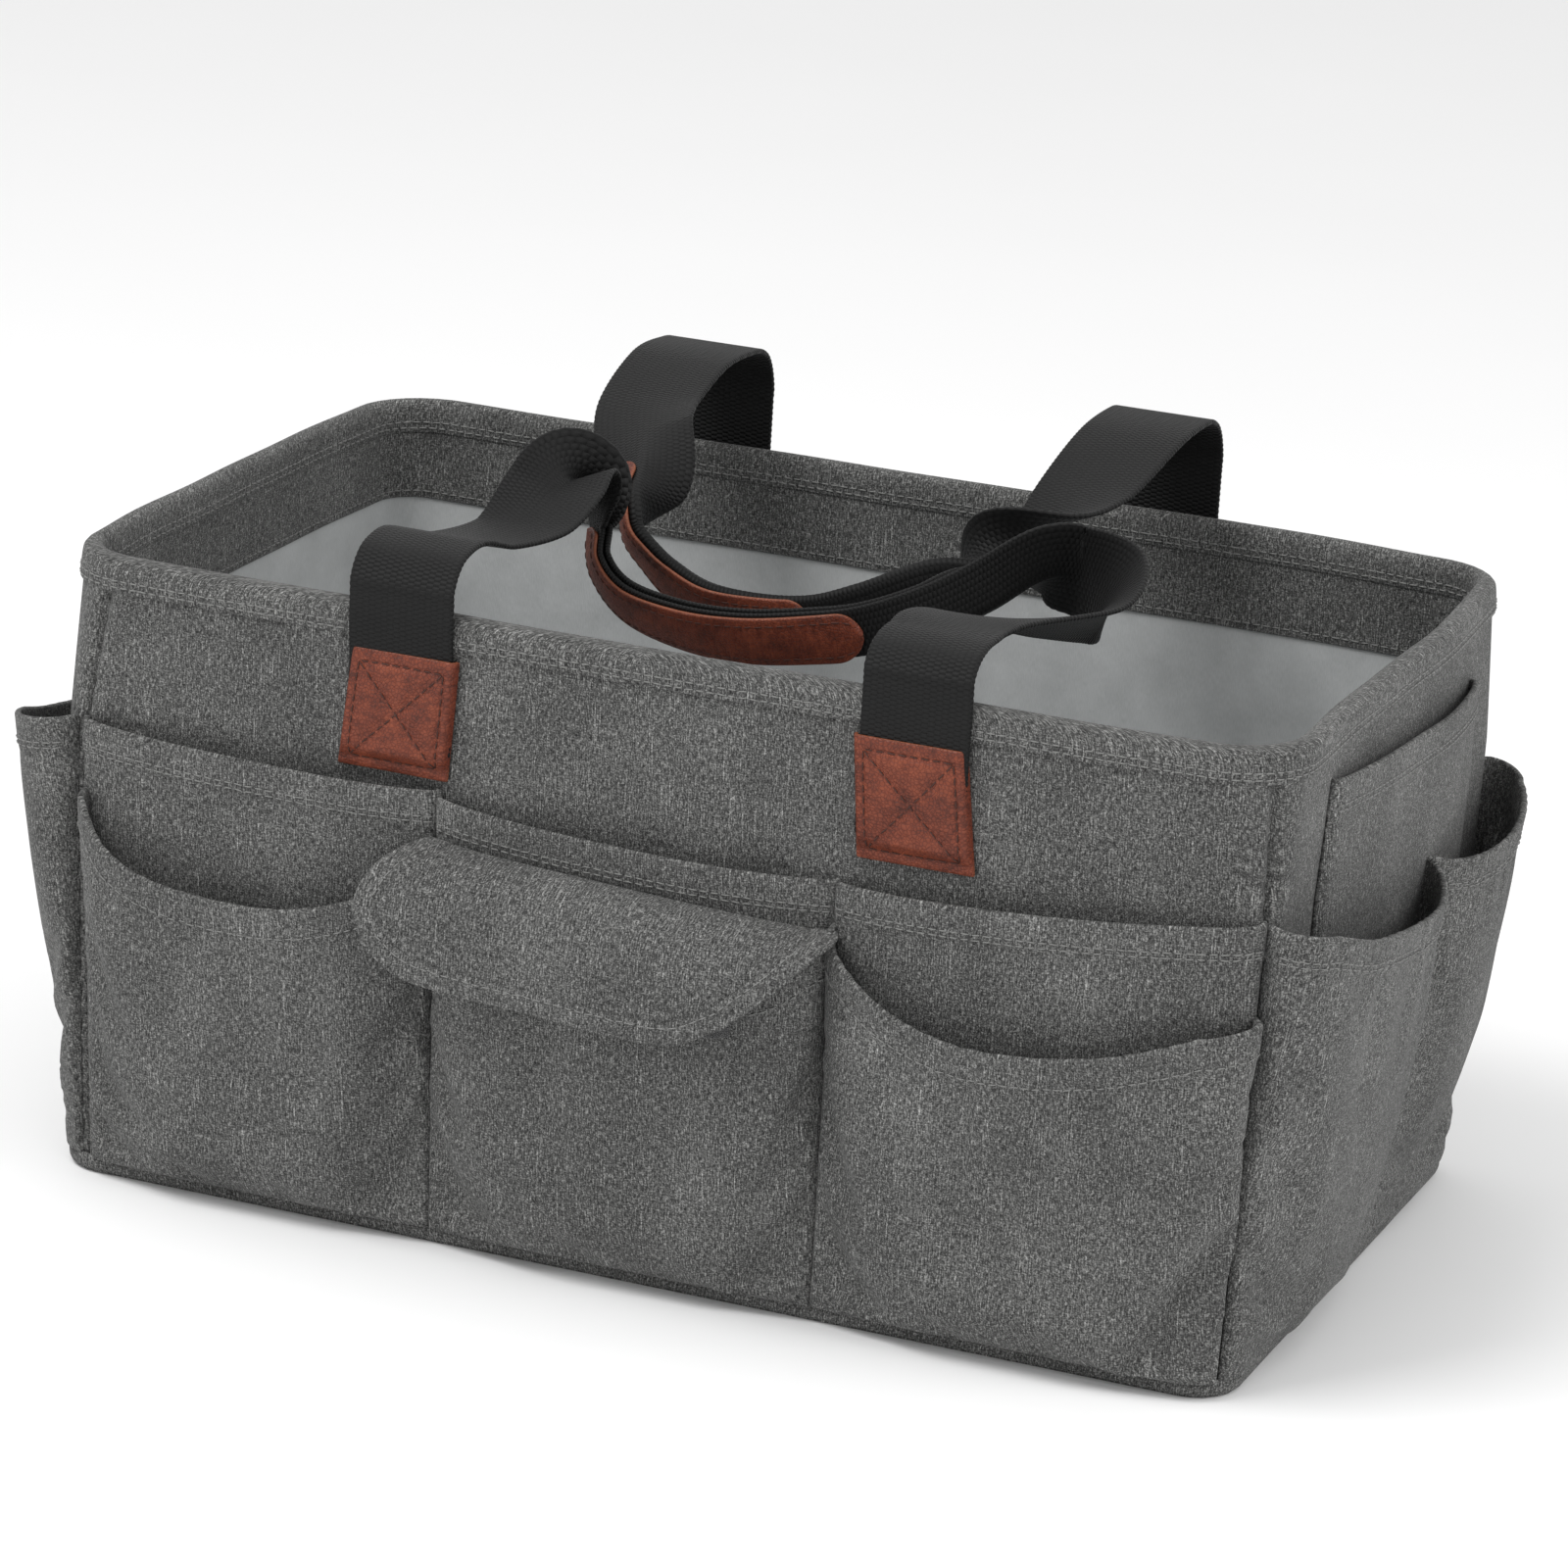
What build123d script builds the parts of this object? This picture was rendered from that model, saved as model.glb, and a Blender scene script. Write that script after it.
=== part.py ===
"""Knitting bag: an open fabric caddy with stiffened walls, pockets all round, and two webbing handles.

Millimetres. +X runs along the length, +Y to the back and +Z up. The origin is the middle of the
underside. Every wall leans out a little, so a layer is drawn as a tapered ring, or as a tapered
block in front of its wall. "out" is a distance outward from the outer face of the wall fabric.
"""
import os
from math import cos, radians, sin

from build123d import *

# Body of the bag
LENGTH = 378.0          # outside, at the base
WIDTH = 228.0           # outside, at the base
HEIGHT = 198.0
FLARE = 6.5             # how far each wall leans out at the rim
CORNER_RADIUS = 14.0    # from the base up to the pocket mouths
RIM_CORNER_RADIUS = 26.0
BOARD_GAP = 2.0         # between the end of a stiffening board and the start of the corner
SEAM_INSET = 3.5        # from the end of a long wall to its vertical seam, round the corner

# Thickness of each material
FABRIC = 1.2
BOARD = 2.0
BASE_BOARD = 2.5
LINING = 0.8
WEBBING = 1.6
LEATHER = 1.4
HOOK_TAPE = 1.0

# Rim and base trim
HEM_DEPTH = 10.0
HEM_THICKNESS = 0.8
FACING_DEPTH = 33.0     # strip of wall fabric inside the rim, above the lining
PIPING_LOW = 1.5
PIPING_HIGH = 5.5
PIPING_PROUD = 1.8

# Pockets
POCKET_FLOOR = 6.0
DIVIDER = 62.0          # stitched divisions of the long walls, each side of the middle
POCKET_SIDE = 180.0     # outer edge of the pockets on the long walls
BAND_MOUTH = 145.0
BAND_SAG = 4.0
BAND_STANDOFF = 7.2     # how far the upper pockets stand open at the mouth
LOWER_MOUTH = 120.0
LOWER_SAG = 20.0
LOWER_STANDOFF = 13.0
PLEAT = 8.0             # how much a pocket's front narrows before it turns back to the wall
SEAM_GAP = 0.2          # between the edges of neighbouring deep pockets
SIDE_HALF = 108.0       # outer edge of the pockets on the short walls
SIDE_DIVIDER = 22.0     # their stitched division, towards the back
SIDE_CORNER_MOUTHS = {"front": 145.0, "back": 136.0}    # mouth height beside each corner
SIDE_DIVIDER_MOUTH = 128.0
SIDE_SAG = 5.0
SIDE_LOW_REACH = 2.6    # how far a short wall's pocket stands out at its floor
SIDE_REACH = 25.0       # and at its mouth
TALL_HALF = 74.0
TALL_FRONT_MOUTH = 178.0
TALL_BACK_MOUTH = 172.0
TALL_SAG = 1.0
TALL_LOW_REACH = 1.0
TALL_REACH = 5.4
TALL_CLEARANCE = 0.1    # between the tall pocket and the deep pockets over it
PLEAT_START = 0.45      # share of a pocket's depth at which its front starts to narrow

# Flap over the middle pocket
FLAP_HALF_WIDTH = 66.0
FLAP_SEAM_HEIGHT = 129.0
FLAP_SEAM_OUT = 10.2
FLAP_KNEE_HEIGHT = 121.5
FLAP_KNEE_OUT = 25.5
FLAP_TIP_HEIGHT = 88.0
FLAP_TIP_OUT = 27.5
FLAP_CORNER = 20.0
FLAP_PLY = 0.8
FLAP_STRAIGHT = 20.0    # height above the tip at which the flap's rounded corners have ended
TAPE_HALF_LENGTH = 30.0
TAPE_ABOVE_TIP = 4.0
HOOK_TAPE_HEIGHT = 16.0
LOOP_TAPE_HEIGHT = 8.0
TAPE_CLEARANCE = 0.02

# Handles
STRAP_WIDTH = 32.0
FOLDED_WIDTH = 16.0
STRAP_CENTRES = {"front": (-77.0, 85.0), "back": (-77.0, 77.0)}     # along X
STRAP_OUT = 2.3         # middle of the webbing's thickness, outward from the wall
STRAP_TAIL = 153.0      # lower end of the sewn webbing, under its patch
LEAN_HEIGHT = 191.0     # the straps lean outward about this line
FRONT_LIFT_HEIGHT = 204.0
BACK_LIFT_HEIGHT = 216.0
LEAN_CLEARANCE = 1.5    # webbing left out on each side of the line that the straps lean about
LIFT_CLEARANCE = 1.0    # and below the line that the free webbing lifts about
BEND_MIDDLE = 107.0     # how far from the bag's middle the straps turn over the rim
BEND_STEPS = 6
PATCH_HEIGHT = 36.0
PATCH_LOW = 148.0
PATCH_WIDTH = 34.0
GRIP_WIDTH = 15.0
GRIP_GAP = 0.3

# Where the middle of each handle's webbing runs, left to right, and which way its width points.
# The last number is the width of the webbing there, since it folds in half towards the grip.
FRONT_HANDLE = [
    ((-77, -105.5, 216), (1, 0, 0), 32), ((-76.5, -98, 215), (1, 0, 0), 32),
    ((-73, -84, 211), (1, 0, 0.05), 32), ((-67, -62, 211), (1, 0, 0.1), 32),
    ((-63, -43, 217), (1, 0, 0.2), 29), ((-62, -28, 219), (0.9, -0.1, 0.4), 23),
    ((-62, -19, 211), (0.8, -0.6, -0.1), 18), ((-61, -17, 201), (0.6, -0.8, 0.2), 16),
    ((-56, -24, 191), (0.4, -0.75, 0.5), 16),
    ((-43, -32, 184), (0.25, -0.65, 0.7), 16), ((-21, -40, 182), (0.1, -0.5, 0.85), 16),
    ((0, -44, 183), (0, -0.35, 0.93), 16), ((20, -43, 186), (-0.05, -0.25, 0.97), 16),
    ((36, -38, 189), (-0.05, -0.15, 1), 16), ((52, -28, 195), (-0.1, 0, 1), 16),
    ((66, -16, 201), (-0.1, 0, 1), 20), ((81, -5, 208), (0, -0.2, 1), 28),
    ((92, -1, 207), (0.1, -0.3, 1), 32), ((106, -14, 205), (0.5, -0.1, 0.85), 32),
    ((104, -42, 204), (0.9, 0, 0.4), 32), ((86, -84, 212), (1, 0, 0), 32),
    ((85, -105.5, 213), (1, 0, 0), 32),
]
BACK_HANDLE = [
    ((-77, 105.5, 233), (1, 0, 0), 32), ((-77, 82, 233), (1, 0, 0), 32),
    ((-76, 56, 225), (1, 0.05, 0.1), 32), ((-70, 38, 219), (0.95, -0.1, 0.3), 32),
    ((-66, 24, 213), (0.85, -0.4, 0.4), 28), ((-64, 14, 207), (0.6, -0.7, 0.45), 22),
    ((-61, 8, 201), (0.4, -0.75, 0.5), 17), ((-58, 5, 195), (0.35, -0.75, 0.55), 16),
    ((-52, 3, 190), (0.3, -0.7, 0.6), 16), ((-43, 1, 184), (0.2, -0.6, 0.75), 16),
    ((-29, -2, 179), (0.1, -0.5, 0.85), 16), ((-11, -4, 178), (0, -0.3, 0.95), 16),
    ((7, -4, 180), (0, -0.2, 1), 16), ((23, -2, 186), (-0.1, -0.1, 1), 16),
    ((42, 5, 195), (-0.2, 0, 1), 17), ((56, 14, 198), (0.2, -0.4, 0.9), 22),
    ((66, 31, 208), (0.8, -0.5, 0.3), 30), ((72, 54, 219), (0.95, -0.3, 0), 32),
    ((76, 82, 230), (1, 0, 0), 32), ((77, 105.5, 232), (1, 0, 0), 32),
]
HANDLE_ROUTES = {"front": FRONT_HANDLE, "back": BACK_HANDLE}
GRIP_SPANS = {"front": (7, 13), "back": (4, 12)}    # the grip runs between these two points
FOLD_SIDES = {"front": 1, "back": -1}               # which half of the webbing carries the leather

ALL = 400.0             # larger than any part of the bag, for cutting tools


def lean(z):
    """How far a wall has moved outward at this height."""
    return FLARE * z / HEIGHT


def corner_radius(z):
    """The corners open out between the pocket mouths and the rim."""
    share = max(z - BAND_MOUTH, 0) / (HEIGHT - BAND_MOUTH)
    return CORNER_RADIUS + share * (RIM_CORNER_RADIUS - CORNER_RADIUS)


def tapered_block(out, low, high):
    """Solid inside the bag's outline, moved outward by out, between two heights."""
    heights = [low, high]
    if low < BAND_MOUTH < high:
        heights.insert(1, BAND_MOUTH)
    faces = []
    for z in heights:
        grow = 2 * (lean(z) + out)
        outline = RectangleRounded(LENGTH + grow, WIDTH + grow, corner_radius(z) + out)
        faces.append(Plane.XY.offset(z) * outline)
    return loft(Sketch() + faces, ruled=True)


def tapered_ring(outer, inner, low, high):
    """The part of the outline between two distances out."""
    return tapered_block(outer, low, high) - tapered_block(inner, low, high)


def between(half_x, half_y):
    """Tall wedge that follows the lean of the walls, for cutting a ring into its panels."""
    faces = []
    for z in (0, HEIGHT):
        size = Rectangle(2 * (half_x + lean(z)), 2 * (half_y + lean(z)))
        faces.append(Plane.XY.offset(z) * size)
    return loft(Sketch() + faces, ruled=True)


def side_of(solid, direction):
    """The half of a solid on one side of the bag's middle."""
    keep = Pos(*(ALL * component for component in direction)) * Box(2 * ALL, 2 * ALL, 2 * ALL)
    return solid & keep


def turned(solid, side):
    """Turns a solid drawn in front of the front wall to stand in front of another wall."""
    angle = {"front": 0, "right": 90, "back": 180, "left": -90}[side]
    return Rot(0, 0, angle) * solid


def wall_face(side):
    """Distance from the middle of the base to a wall's outer face."""
    return (WIDTH if side in ("front", "back") else LENGTH) / 2


def pocket_block(wall, left, right, low, high, reach_low, reach_high, inset=0.0):
    """Block in front of a wall, as deep as a pocket, narrowed by its pleats at the front."""
    sections = []
    for z, reach in ((low, reach_low), (high, reach_high)):
        at_wall = wall + lean(z)
        x0 = left + inset
        x1 = right - inset
        pleat = min(PLEAT, reach)
        side = PLEAT_START * reach
        points = [
            (x0, -at_wall), (x0, -at_wall - side), (x0 + pleat, -at_wall - reach),
            (x1 - pleat, -at_wall - reach), (x1, -at_wall - side), (x1, -at_wall),
        ]
        sections.append(Plane.XY.offset(z) * make_face(Polyline(*points, close=True)))
    return loft(Sketch() + sections, ruled=True)


def mouth_cut(left, right, ends, sag):
    """Everything above a pocket's mouth, which dips between the heights of its two ends."""
    first, last = (left - 1, ends[0]), (right + 1, ends[1])
    dip = ThreePointArc(first, ((left + right) / 2, sum(ends) / 2 - sag), last)
    sides = Polyline(last, (right + 1, ALL), (left - 1, ALL), first)
    face = Plane.XZ * make_face(Curve() + [dip, sides])
    return extrude(face, amount=ALL, both=True)


def band_reach(z, fabric=FABRIC):
    """Outer face of an upper pocket at a height, outward from the wall."""
    share = (z - POCKET_FLOOR) / (BAND_MOUTH - POCKET_FLOOR)
    return FABRIC + share * (BAND_STANDOFF - FABRIC) + fabric


def open_pocket(side, left, right, ends, sag, reach_low, reach_high):
    """Pocket that stands straight on a wall, with the reach of its inside at floor and mouth."""
    args = (wall_face(side), left, right, POCKET_FLOOR, max(ends))
    outside = pocket_block(*args, reach_low + FABRIC, reach_high + FABRIC)
    inside = pocket_block(*args, reach_low, reach_high, FABRIC)
    return outside - inside - mouth_cut(left, right, ends, sag)


def lower_pocket(side, left, right):
    """Deep pleated pocket sewn over an upper pocket of the same width."""
    wall = wall_face(side)
    args = (wall, left + SEAM_GAP, right - SEAM_GAP, POCKET_FLOOR, LOWER_MOUTH)
    low = band_reach(POCKET_FLOOR) + FABRIC
    high = band_reach(LOWER_MOUTH) + LOWER_STANDOFF
    outside = pocket_block(*args, low + FABRIC, high + FABRIC)
    inside = pocket_block(*args, low, high, FABRIC)
    behind = pocket_block(wall, left, right, POCKET_FLOOR, BAND_MOUTH,
                          band_reach(POCKET_FLOOR), band_reach(BAND_MOUTH))
    mouth = mouth_cut(left, right, (LOWER_MOUTH, LOWER_MOUTH), LOWER_SAG)
    return outside - inside - behind - mouth


def on_wall(side, left, right, low, high, out, thickness):
    """Flat patch that lies on a wall at a given distance out."""
    wall = wall_face(side)
    points = []
    for z, distance in ((low, out), (high, out), (high, out + thickness), (low, out + thickness)):
        points.append((-wall - lean(z) - distance, z))
    profile = Plane.YZ * make_face(Polyline(*points, close=True))
    return Pos(left, 0, 0) * extrude(profile, amount=right - left)


def flap_ply(inner, outer):
    """One cloth layer of the flap, between two distances from its inner line.

    The line's last two numbers say which way its thickness goes there: outward, and upward.
    """
    line = [
        (FLAP_SEAM_OUT, FLAP_SEAM_HEIGHT, 0.5, 0.86),
        (FLAP_KNEE_OUT, FLAP_KNEE_HEIGHT, 0.85, 0.6),
        (FLAP_TIP_OUT, FLAP_TIP_HEIGHT, 1.0, 0.06),
    ]
    points = []
    for distance, stops in ((inner, line), (outer, line[::-1])):
        for out, z, out_share, up_share in stops:
            y = -WIDTH / 2 - lean(z) - out - distance * out_share
            points.append((y, z + distance * up_share))
    profile = Plane.YZ * make_face(Polyline(*points, close=True))
    sheet = extrude(profile, amount=FLAP_HALF_WIDTH, both=True)
    height = 2 * (FLAP_SEAM_HEIGHT - FLAP_TIP_HEIGHT)
    outline = Plane.XZ * Pos(0, FLAP_TIP_HEIGHT + height / 2) * RectangleRounded(
        2 * FLAP_HALF_WIDTH, height, FLAP_CORNER)
    upper = Pos(0, 0, FLAP_TIP_HEIGHT + FLAP_STRAIGHT + height / 2) * Box(
        2 * FLAP_HALF_WIDTH, 2 * ALL, height)
    return sheet & (extrude(outline, amount=ALL, both=True) + upper)


def strap_section(points, index, width, thickness, shift=0.0, aside=0.0):
    """Rectangular cross-section of a strap, square to its run at one of its points.

    shift moves it through the strap's thickness, and aside moves it along the strap's width.
    """
    centre = Vector(*points[index][0])
    before = Vector(*points[max(index - 1, 0)][0])
    after = Vector(*points[min(index + 1, len(points) - 1)][0])
    along = (after - before).normalized()
    across = Vector(*points[index][1])
    across = (across - along * across.dot(along)).normalized()
    normal = along.cross(across)
    middle = centre + normal * shift + across * aside
    corners = []
    for side, face in ((-1, -1), (1, -1), (1, 1), (-1, 1)):
        corners.append(middle + across * (side * width / 2) + normal * (face * thickness / 2))
    return Wire.make_polygon(corners, close=True)


def handle_webbing(points):
    """The free webbing of a handle, from one arch over the rim to the other."""
    wires = []
    for index, (_, _, width) in enumerate(points):
        wires.append(strap_section(points, index, width, WEBBING))
    return Solid.make_loft(wires, ruled=True)


def handle_grip(side):
    """Leather strip sewn along one half of the webbing, where it is folded."""
    points = HANDLE_ROUTES[side]
    first, last = GRIP_SPANS[side]
    wires = []
    shift = (WEBBING + LEATHER) / 2 + GRIP_GAP
    for index in range(first, last + 1):
        aside = FOLD_SIDES[side] * (points[index][2] - FOLDED_WIDTH) / 2
        wires.append(strap_section(points, index, GRIP_WIDTH, LEATHER, shift, aside))
    return Solid.make_loft(wires, ruled=True)


def strap_piece(side, centre, low, high):
    """Upright length of webbing outside a wall. Above the seam it stands plumb."""
    y = -WIDTH / 2 - FLARE - STRAP_OUT
    piece = Pos(centre, y, (low + high) / 2) * Box(STRAP_WIDTH, WEBBING, high - low)
    return turned(piece, side)


def strap_bend(side, centre, lift_height, top):
    """Quarter turn of webbing over the rim, from the upright strap to the free webbing."""
    radius = WIDTH / 2 + FLARE + STRAP_OUT - BEND_MIDDLE
    points = []
    for step in range(BEND_STEPS + 1):
        angle = radians(90 * step / BEND_STEPS)
        y = -BEND_MIDDLE - radius * cos(angle)
        z = lift_height + (top - lift_height) * sin(angle)
        points.append(((centre, y, z), (1, 0, 0), STRAP_WIDTH))
    return turned(handle_webbing(points), side)


def save(name, shape):
    """Writes one named piece of the bag."""
    export_step(shape, f"parts/{name}.step")


def walls():
    """Outer fabric, stiffening boards and lining of the four walls and the base."""
    wall_top = HEIGHT - HEM_THICKNESS
    board_floor = FABRIC + BASE_BOARD
    lining_floor = board_floor + LINING
    lining_top = HEIGHT - FACING_DEPTH
    seams = between(LENGTH / 2 - SEAM_INSET, WIDTH)
    flat_long = between(LENGTH / 2 - RIM_CORNER_RADIUS - BOARD_GAP, WIDTH)
    flat_short = between(LENGTH, WIDTH / 2 - RIM_CORNER_RADIUS - BOARD_GAP)
    outer = tapered_ring(0, -FABRIC, FABRIC, wall_top)
    board = tapered_ring(-FABRIC, -FABRIC - BOARD, board_floor, wall_top)
    inner = tapered_ring(-FABRIC - BOARD, -FABRIC - BOARD - LINING, lining_floor, lining_top)
    facing = tapered_ring(-FABRIC - BOARD, -FABRIC - BOARD - LINING, lining_top, wall_top)
    for side, direction in (("front", (0, -1, 0)), ("back", (0, 1, 0))):
        save(f"{side}_panel", side_of(outer & seams, direction))
        save(f"{side}_board", side_of(board & flat_long, direction))
        save(f"{side}_lining", side_of(inner & seams, direction))
    for side, direction in (("left", (-1, 0, 0)), ("right", (1, 0, 0))):
        save(f"{side}_panel", side_of(outer - seams, direction))
        save(f"{side}_board", side_of(board & flat_short, direction))
        save(f"{side}_lining", side_of(inner - seams, direction))
    save("rim_facing", facing)
    save("base_panel", tapered_block(0, 0, FABRIC))
    save("base_board", tapered_block(-FABRIC, FABRIC, board_floor))
    save("base_lining", tapered_block(-FABRIC - BOARD, board_floor, lining_floor))
    layers = FABRIC + BOARD + LINING
    hem = tapered_ring(HEM_THICKNESS, -layers - HEM_THICKNESS, HEIGHT - HEM_DEPTH, HEIGHT)
    save("rim_hem", hem - tapered_ring(0, -layers, HEIGHT - HEM_DEPTH - 1, wall_top))
    save("base_piping", tapered_ring(PIPING_PROUD, 0, PIPING_LOW, PIPING_HIGH))


def long_wall_pockets():
    """Upper pockets on both long walls, and three deep pockets and a flap on the front."""
    edges = [-POCKET_SIDE, -DIVIDER, DIVIDER, POCKET_SIDE]
    for side in ("front", "back"):
        row = []
        for left, right in zip(edges, edges[1:]):
            row.append(open_pocket(side, left, right, (BAND_MOUTH, BAND_MOUTH), BAND_SAG,
                                   band_reach(POCKET_FLOOR, 0), band_reach(BAND_MOUTH, 0)))
        save(f"{side}_pocket_band", turned(row[0] + row[1] + row[2], side))
    for name, left, right in zip(("left", "middle", "right"), edges, edges[1:]):
        save(f"front_{name}_pocket", lower_pocket("front", left, right))
    save("flap_facing", flap_ply(0, FLAP_PLY))
    save("flap_face", flap_ply(FLAP_PLY, 2 * FLAP_PLY))


def tape_strip(points):
    """A tape across the middle pocket, from its cross-section."""
    profile = Plane.YZ * make_face(Polyline(*points, close=True))
    return extrude(profile, amount=TAPE_HALF_LENGTH, both=True)


def flap_fastening():
    """Hook tape under the flap, and the loop tape that it meets on the middle pocket."""
    low = FLAP_TIP_HEIGHT + TAPE_ABOVE_TIP
    first = band_reach(POCKET_FLOOR) + 2 * FABRIC
    last = band_reach(LOWER_MOUTH) + LOWER_STANDOFF + FABRIC
    slope = (last - first) / (LOWER_MOUTH - POCKET_FLOOR)
    high = low + LOOP_TAPE_HEIGHT
    points = []
    for z, thickness in ((low, 0), (high, 0), (high, HOOK_TAPE), (low, HOOK_TAPE)):
        out = first + slope * (z - POCKET_FLOOR) + thickness + TAPE_CLEARANCE
        points.append((-WIDTH / 2 - lean(z) - out, z))
    save("flap_loop_tape", tape_strip(points))
    high = low + HOOK_TAPE_HEIGHT
    points = []
    for z, thickness in ((low, 0), (high, 0), (high, HOOK_TAPE), (low, HOOK_TAPE)):
        drop = (FLAP_KNEE_HEIGHT - z) / (FLAP_KNEE_HEIGHT - FLAP_TIP_HEIGHT)
        out = FLAP_KNEE_OUT + drop * (FLAP_TIP_OUT - FLAP_KNEE_OUT) - thickness - TAPE_CLEARANCE
        points.append((-WIDTH / 2 - lean(z) - out, z))
    save("flap_hook_tape", tape_strip(points))


def short_wall_pockets():
    """Two deep pockets on each short wall, and a tall flat pocket behind those on the right."""
    tall_ends = (TALL_FRONT_MOUTH, TALL_BACK_MOUTH)
    cleared = FABRIC + TALL_CLEARANCE
    behind = pocket_block(wall_face("right"), -TALL_HALF - cleared, TALL_HALF + cleared,
                          POCKET_FLOOR, max(tall_ends), TALL_LOW_REACH + cleared,
                          TALL_REACH + cleared)
    for side, back in (("right", 1), ("left", -1)):
        for end, corner in (("front", -back * SIDE_HALF), ("back", back * SIDE_HALF)):
            mouths = {corner: SIDE_CORNER_MOUTHS[end], back * SIDE_DIVIDER: SIDE_DIVIDER_MOUTH}
            left, right = sorted(mouths)
            pocket = open_pocket(side, left + SEAM_GAP, right - SEAM_GAP,
                                 (mouths[left], mouths[right]), SIDE_SAG,
                                 SIDE_LOW_REACH, SIDE_REACH)
            if side == "right":
                pocket = pocket - behind
            save(f"{side}_{end}_pocket", turned(pocket, side))
    tall = open_pocket("right", -TALL_HALF, TALL_HALF, tall_ends, TALL_SAG,
                       TALL_LOW_REACH, TALL_REACH)
    save("right_tall_pocket", turned(tall, "right"))


def handles():
    """Both handles: sewn ends, leather patches, leaning lengths, free webbing and grips."""
    rise = {"front": FRONT_LIFT_HEIGHT, "back": BACK_LIFT_HEIGHT}
    for side, route in HANDLE_ROUTES.items():
        turn = 1 if side == "front" else -1
        tops = [route[0][0][2], route[-1][0][2]]
        ends = []
        leaning = []
        bends = []
        for name, x, top in zip(("left", "right"), STRAP_CENTRES[side], tops):
            centre = turn * x
            left = centre - STRAP_WIDTH / 2
            right = centre + STRAP_WIDTH / 2
            tail = on_wall(side, left, right, STRAP_TAIL, LEAN_HEIGHT - LEAN_CLEARANCE,
                           STRAP_OUT - WEBBING / 2, WEBBING)
            ends.append(turned(tail, side))
            leaning.append(strap_piece(side, centre, LEAN_HEIGHT + LEAN_CLEARANCE,
                                       rise[side] - LIFT_CLEARANCE))
            bends.append(strap_bend(side, centre, rise[side], top))
            left = centre - PATCH_WIDTH / 2
            right = centre + PATCH_WIDTH / 2
            patch = on_wall(side, left, right, PATCH_LOW, PATCH_LOW + PATCH_HEIGHT,
                            STRAP_OUT + WEBBING / 2, LEATHER)
            save(f"{side}_{name}_patch", turned(patch, side))
        save(f"{side}_strap_ends", Compound(children=ends))
        save(f"{side}_strap_risers", Compound(children=leaning))
        save(f"{side}_strap_bends", Compound(children=bends))
        save(f"{side}_webbing", handle_webbing(route))
        save(f"{side}_grip", handle_grip(side))


os.makedirs("parts", exist_ok=True)
walls()
long_wall_pockets()
flap_fastening()
short_wall_pockets()
handles()
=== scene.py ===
"""Knitting bag: cloth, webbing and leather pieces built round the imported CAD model.

Shapes are worked out in millimetres and turned to metres when a mesh is made. +X runs along the
bag, +Y to the back and +Z up. A place on a wall is (across, height, out): across is measured from
the wall's middle, rightwards for someone facing that wall, and out is outward from its outer face.
"""
from math import cos, hypot, pi, radians, sin, sqrt

import bmesh
import bpy
import numpy as np
from mathutils import Matrix, Vector


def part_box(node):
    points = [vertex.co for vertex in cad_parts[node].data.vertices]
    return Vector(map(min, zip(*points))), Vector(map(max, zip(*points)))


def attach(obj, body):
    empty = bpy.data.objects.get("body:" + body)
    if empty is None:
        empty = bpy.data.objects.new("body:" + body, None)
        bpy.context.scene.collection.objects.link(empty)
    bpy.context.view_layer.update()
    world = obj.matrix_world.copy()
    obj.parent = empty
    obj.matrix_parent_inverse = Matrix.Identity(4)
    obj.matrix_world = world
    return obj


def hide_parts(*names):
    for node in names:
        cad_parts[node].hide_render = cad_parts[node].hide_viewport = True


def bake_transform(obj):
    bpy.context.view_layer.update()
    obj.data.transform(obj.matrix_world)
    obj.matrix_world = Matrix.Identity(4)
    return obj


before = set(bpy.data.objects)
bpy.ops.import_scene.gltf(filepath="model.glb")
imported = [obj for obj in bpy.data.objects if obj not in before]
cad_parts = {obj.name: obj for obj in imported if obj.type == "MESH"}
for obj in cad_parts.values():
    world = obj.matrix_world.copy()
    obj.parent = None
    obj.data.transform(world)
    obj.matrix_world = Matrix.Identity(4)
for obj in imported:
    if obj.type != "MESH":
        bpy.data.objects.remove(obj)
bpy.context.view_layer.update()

MM = 0.001

# Body of the bag, as in the CAD model
LENGTH = 2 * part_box("base_panel")[1].x / MM
WIDTH = 2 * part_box("base_panel")[1].y / MM
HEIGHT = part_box("rim_hem")[1].z / MM
FLARE = 6.5
CORNER = 14.0           # corner radius up to the pocket mouths
RIM_CORNER = 26.0
CORNER_OPENS = 145.0    # height from which the corners open out
FABRIC = 1.2
BOARD = 2.0
LINING = 0.8
WEBBING = 1.6
LEATHER = 1.4
HEM_DEPTH = 10.0
FACING_DEPTH = 33.0
POCKET_FLOOR = 6.0
DIVIDER = 62.0
STRAP_CENTRES = {"front": (-77.0, 85.0), "back": (-77.0, 77.0)}
STRAP_WIDTH = 32.0
FOLDED_WIDTH = 16.0
STRAP_OUT = 2.3
STRAP_TAIL = 153.0
PATCH_LOW = 148.0
PATCH_HEIGHT = 36.0
PATCH_WIDTH = 34.0
GRIP_WIDTH = 15.0
BEND_MIDDLE = 107.0
LIFT_HEIGHT = {"front": 204.0, "back": 216.0}

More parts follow.
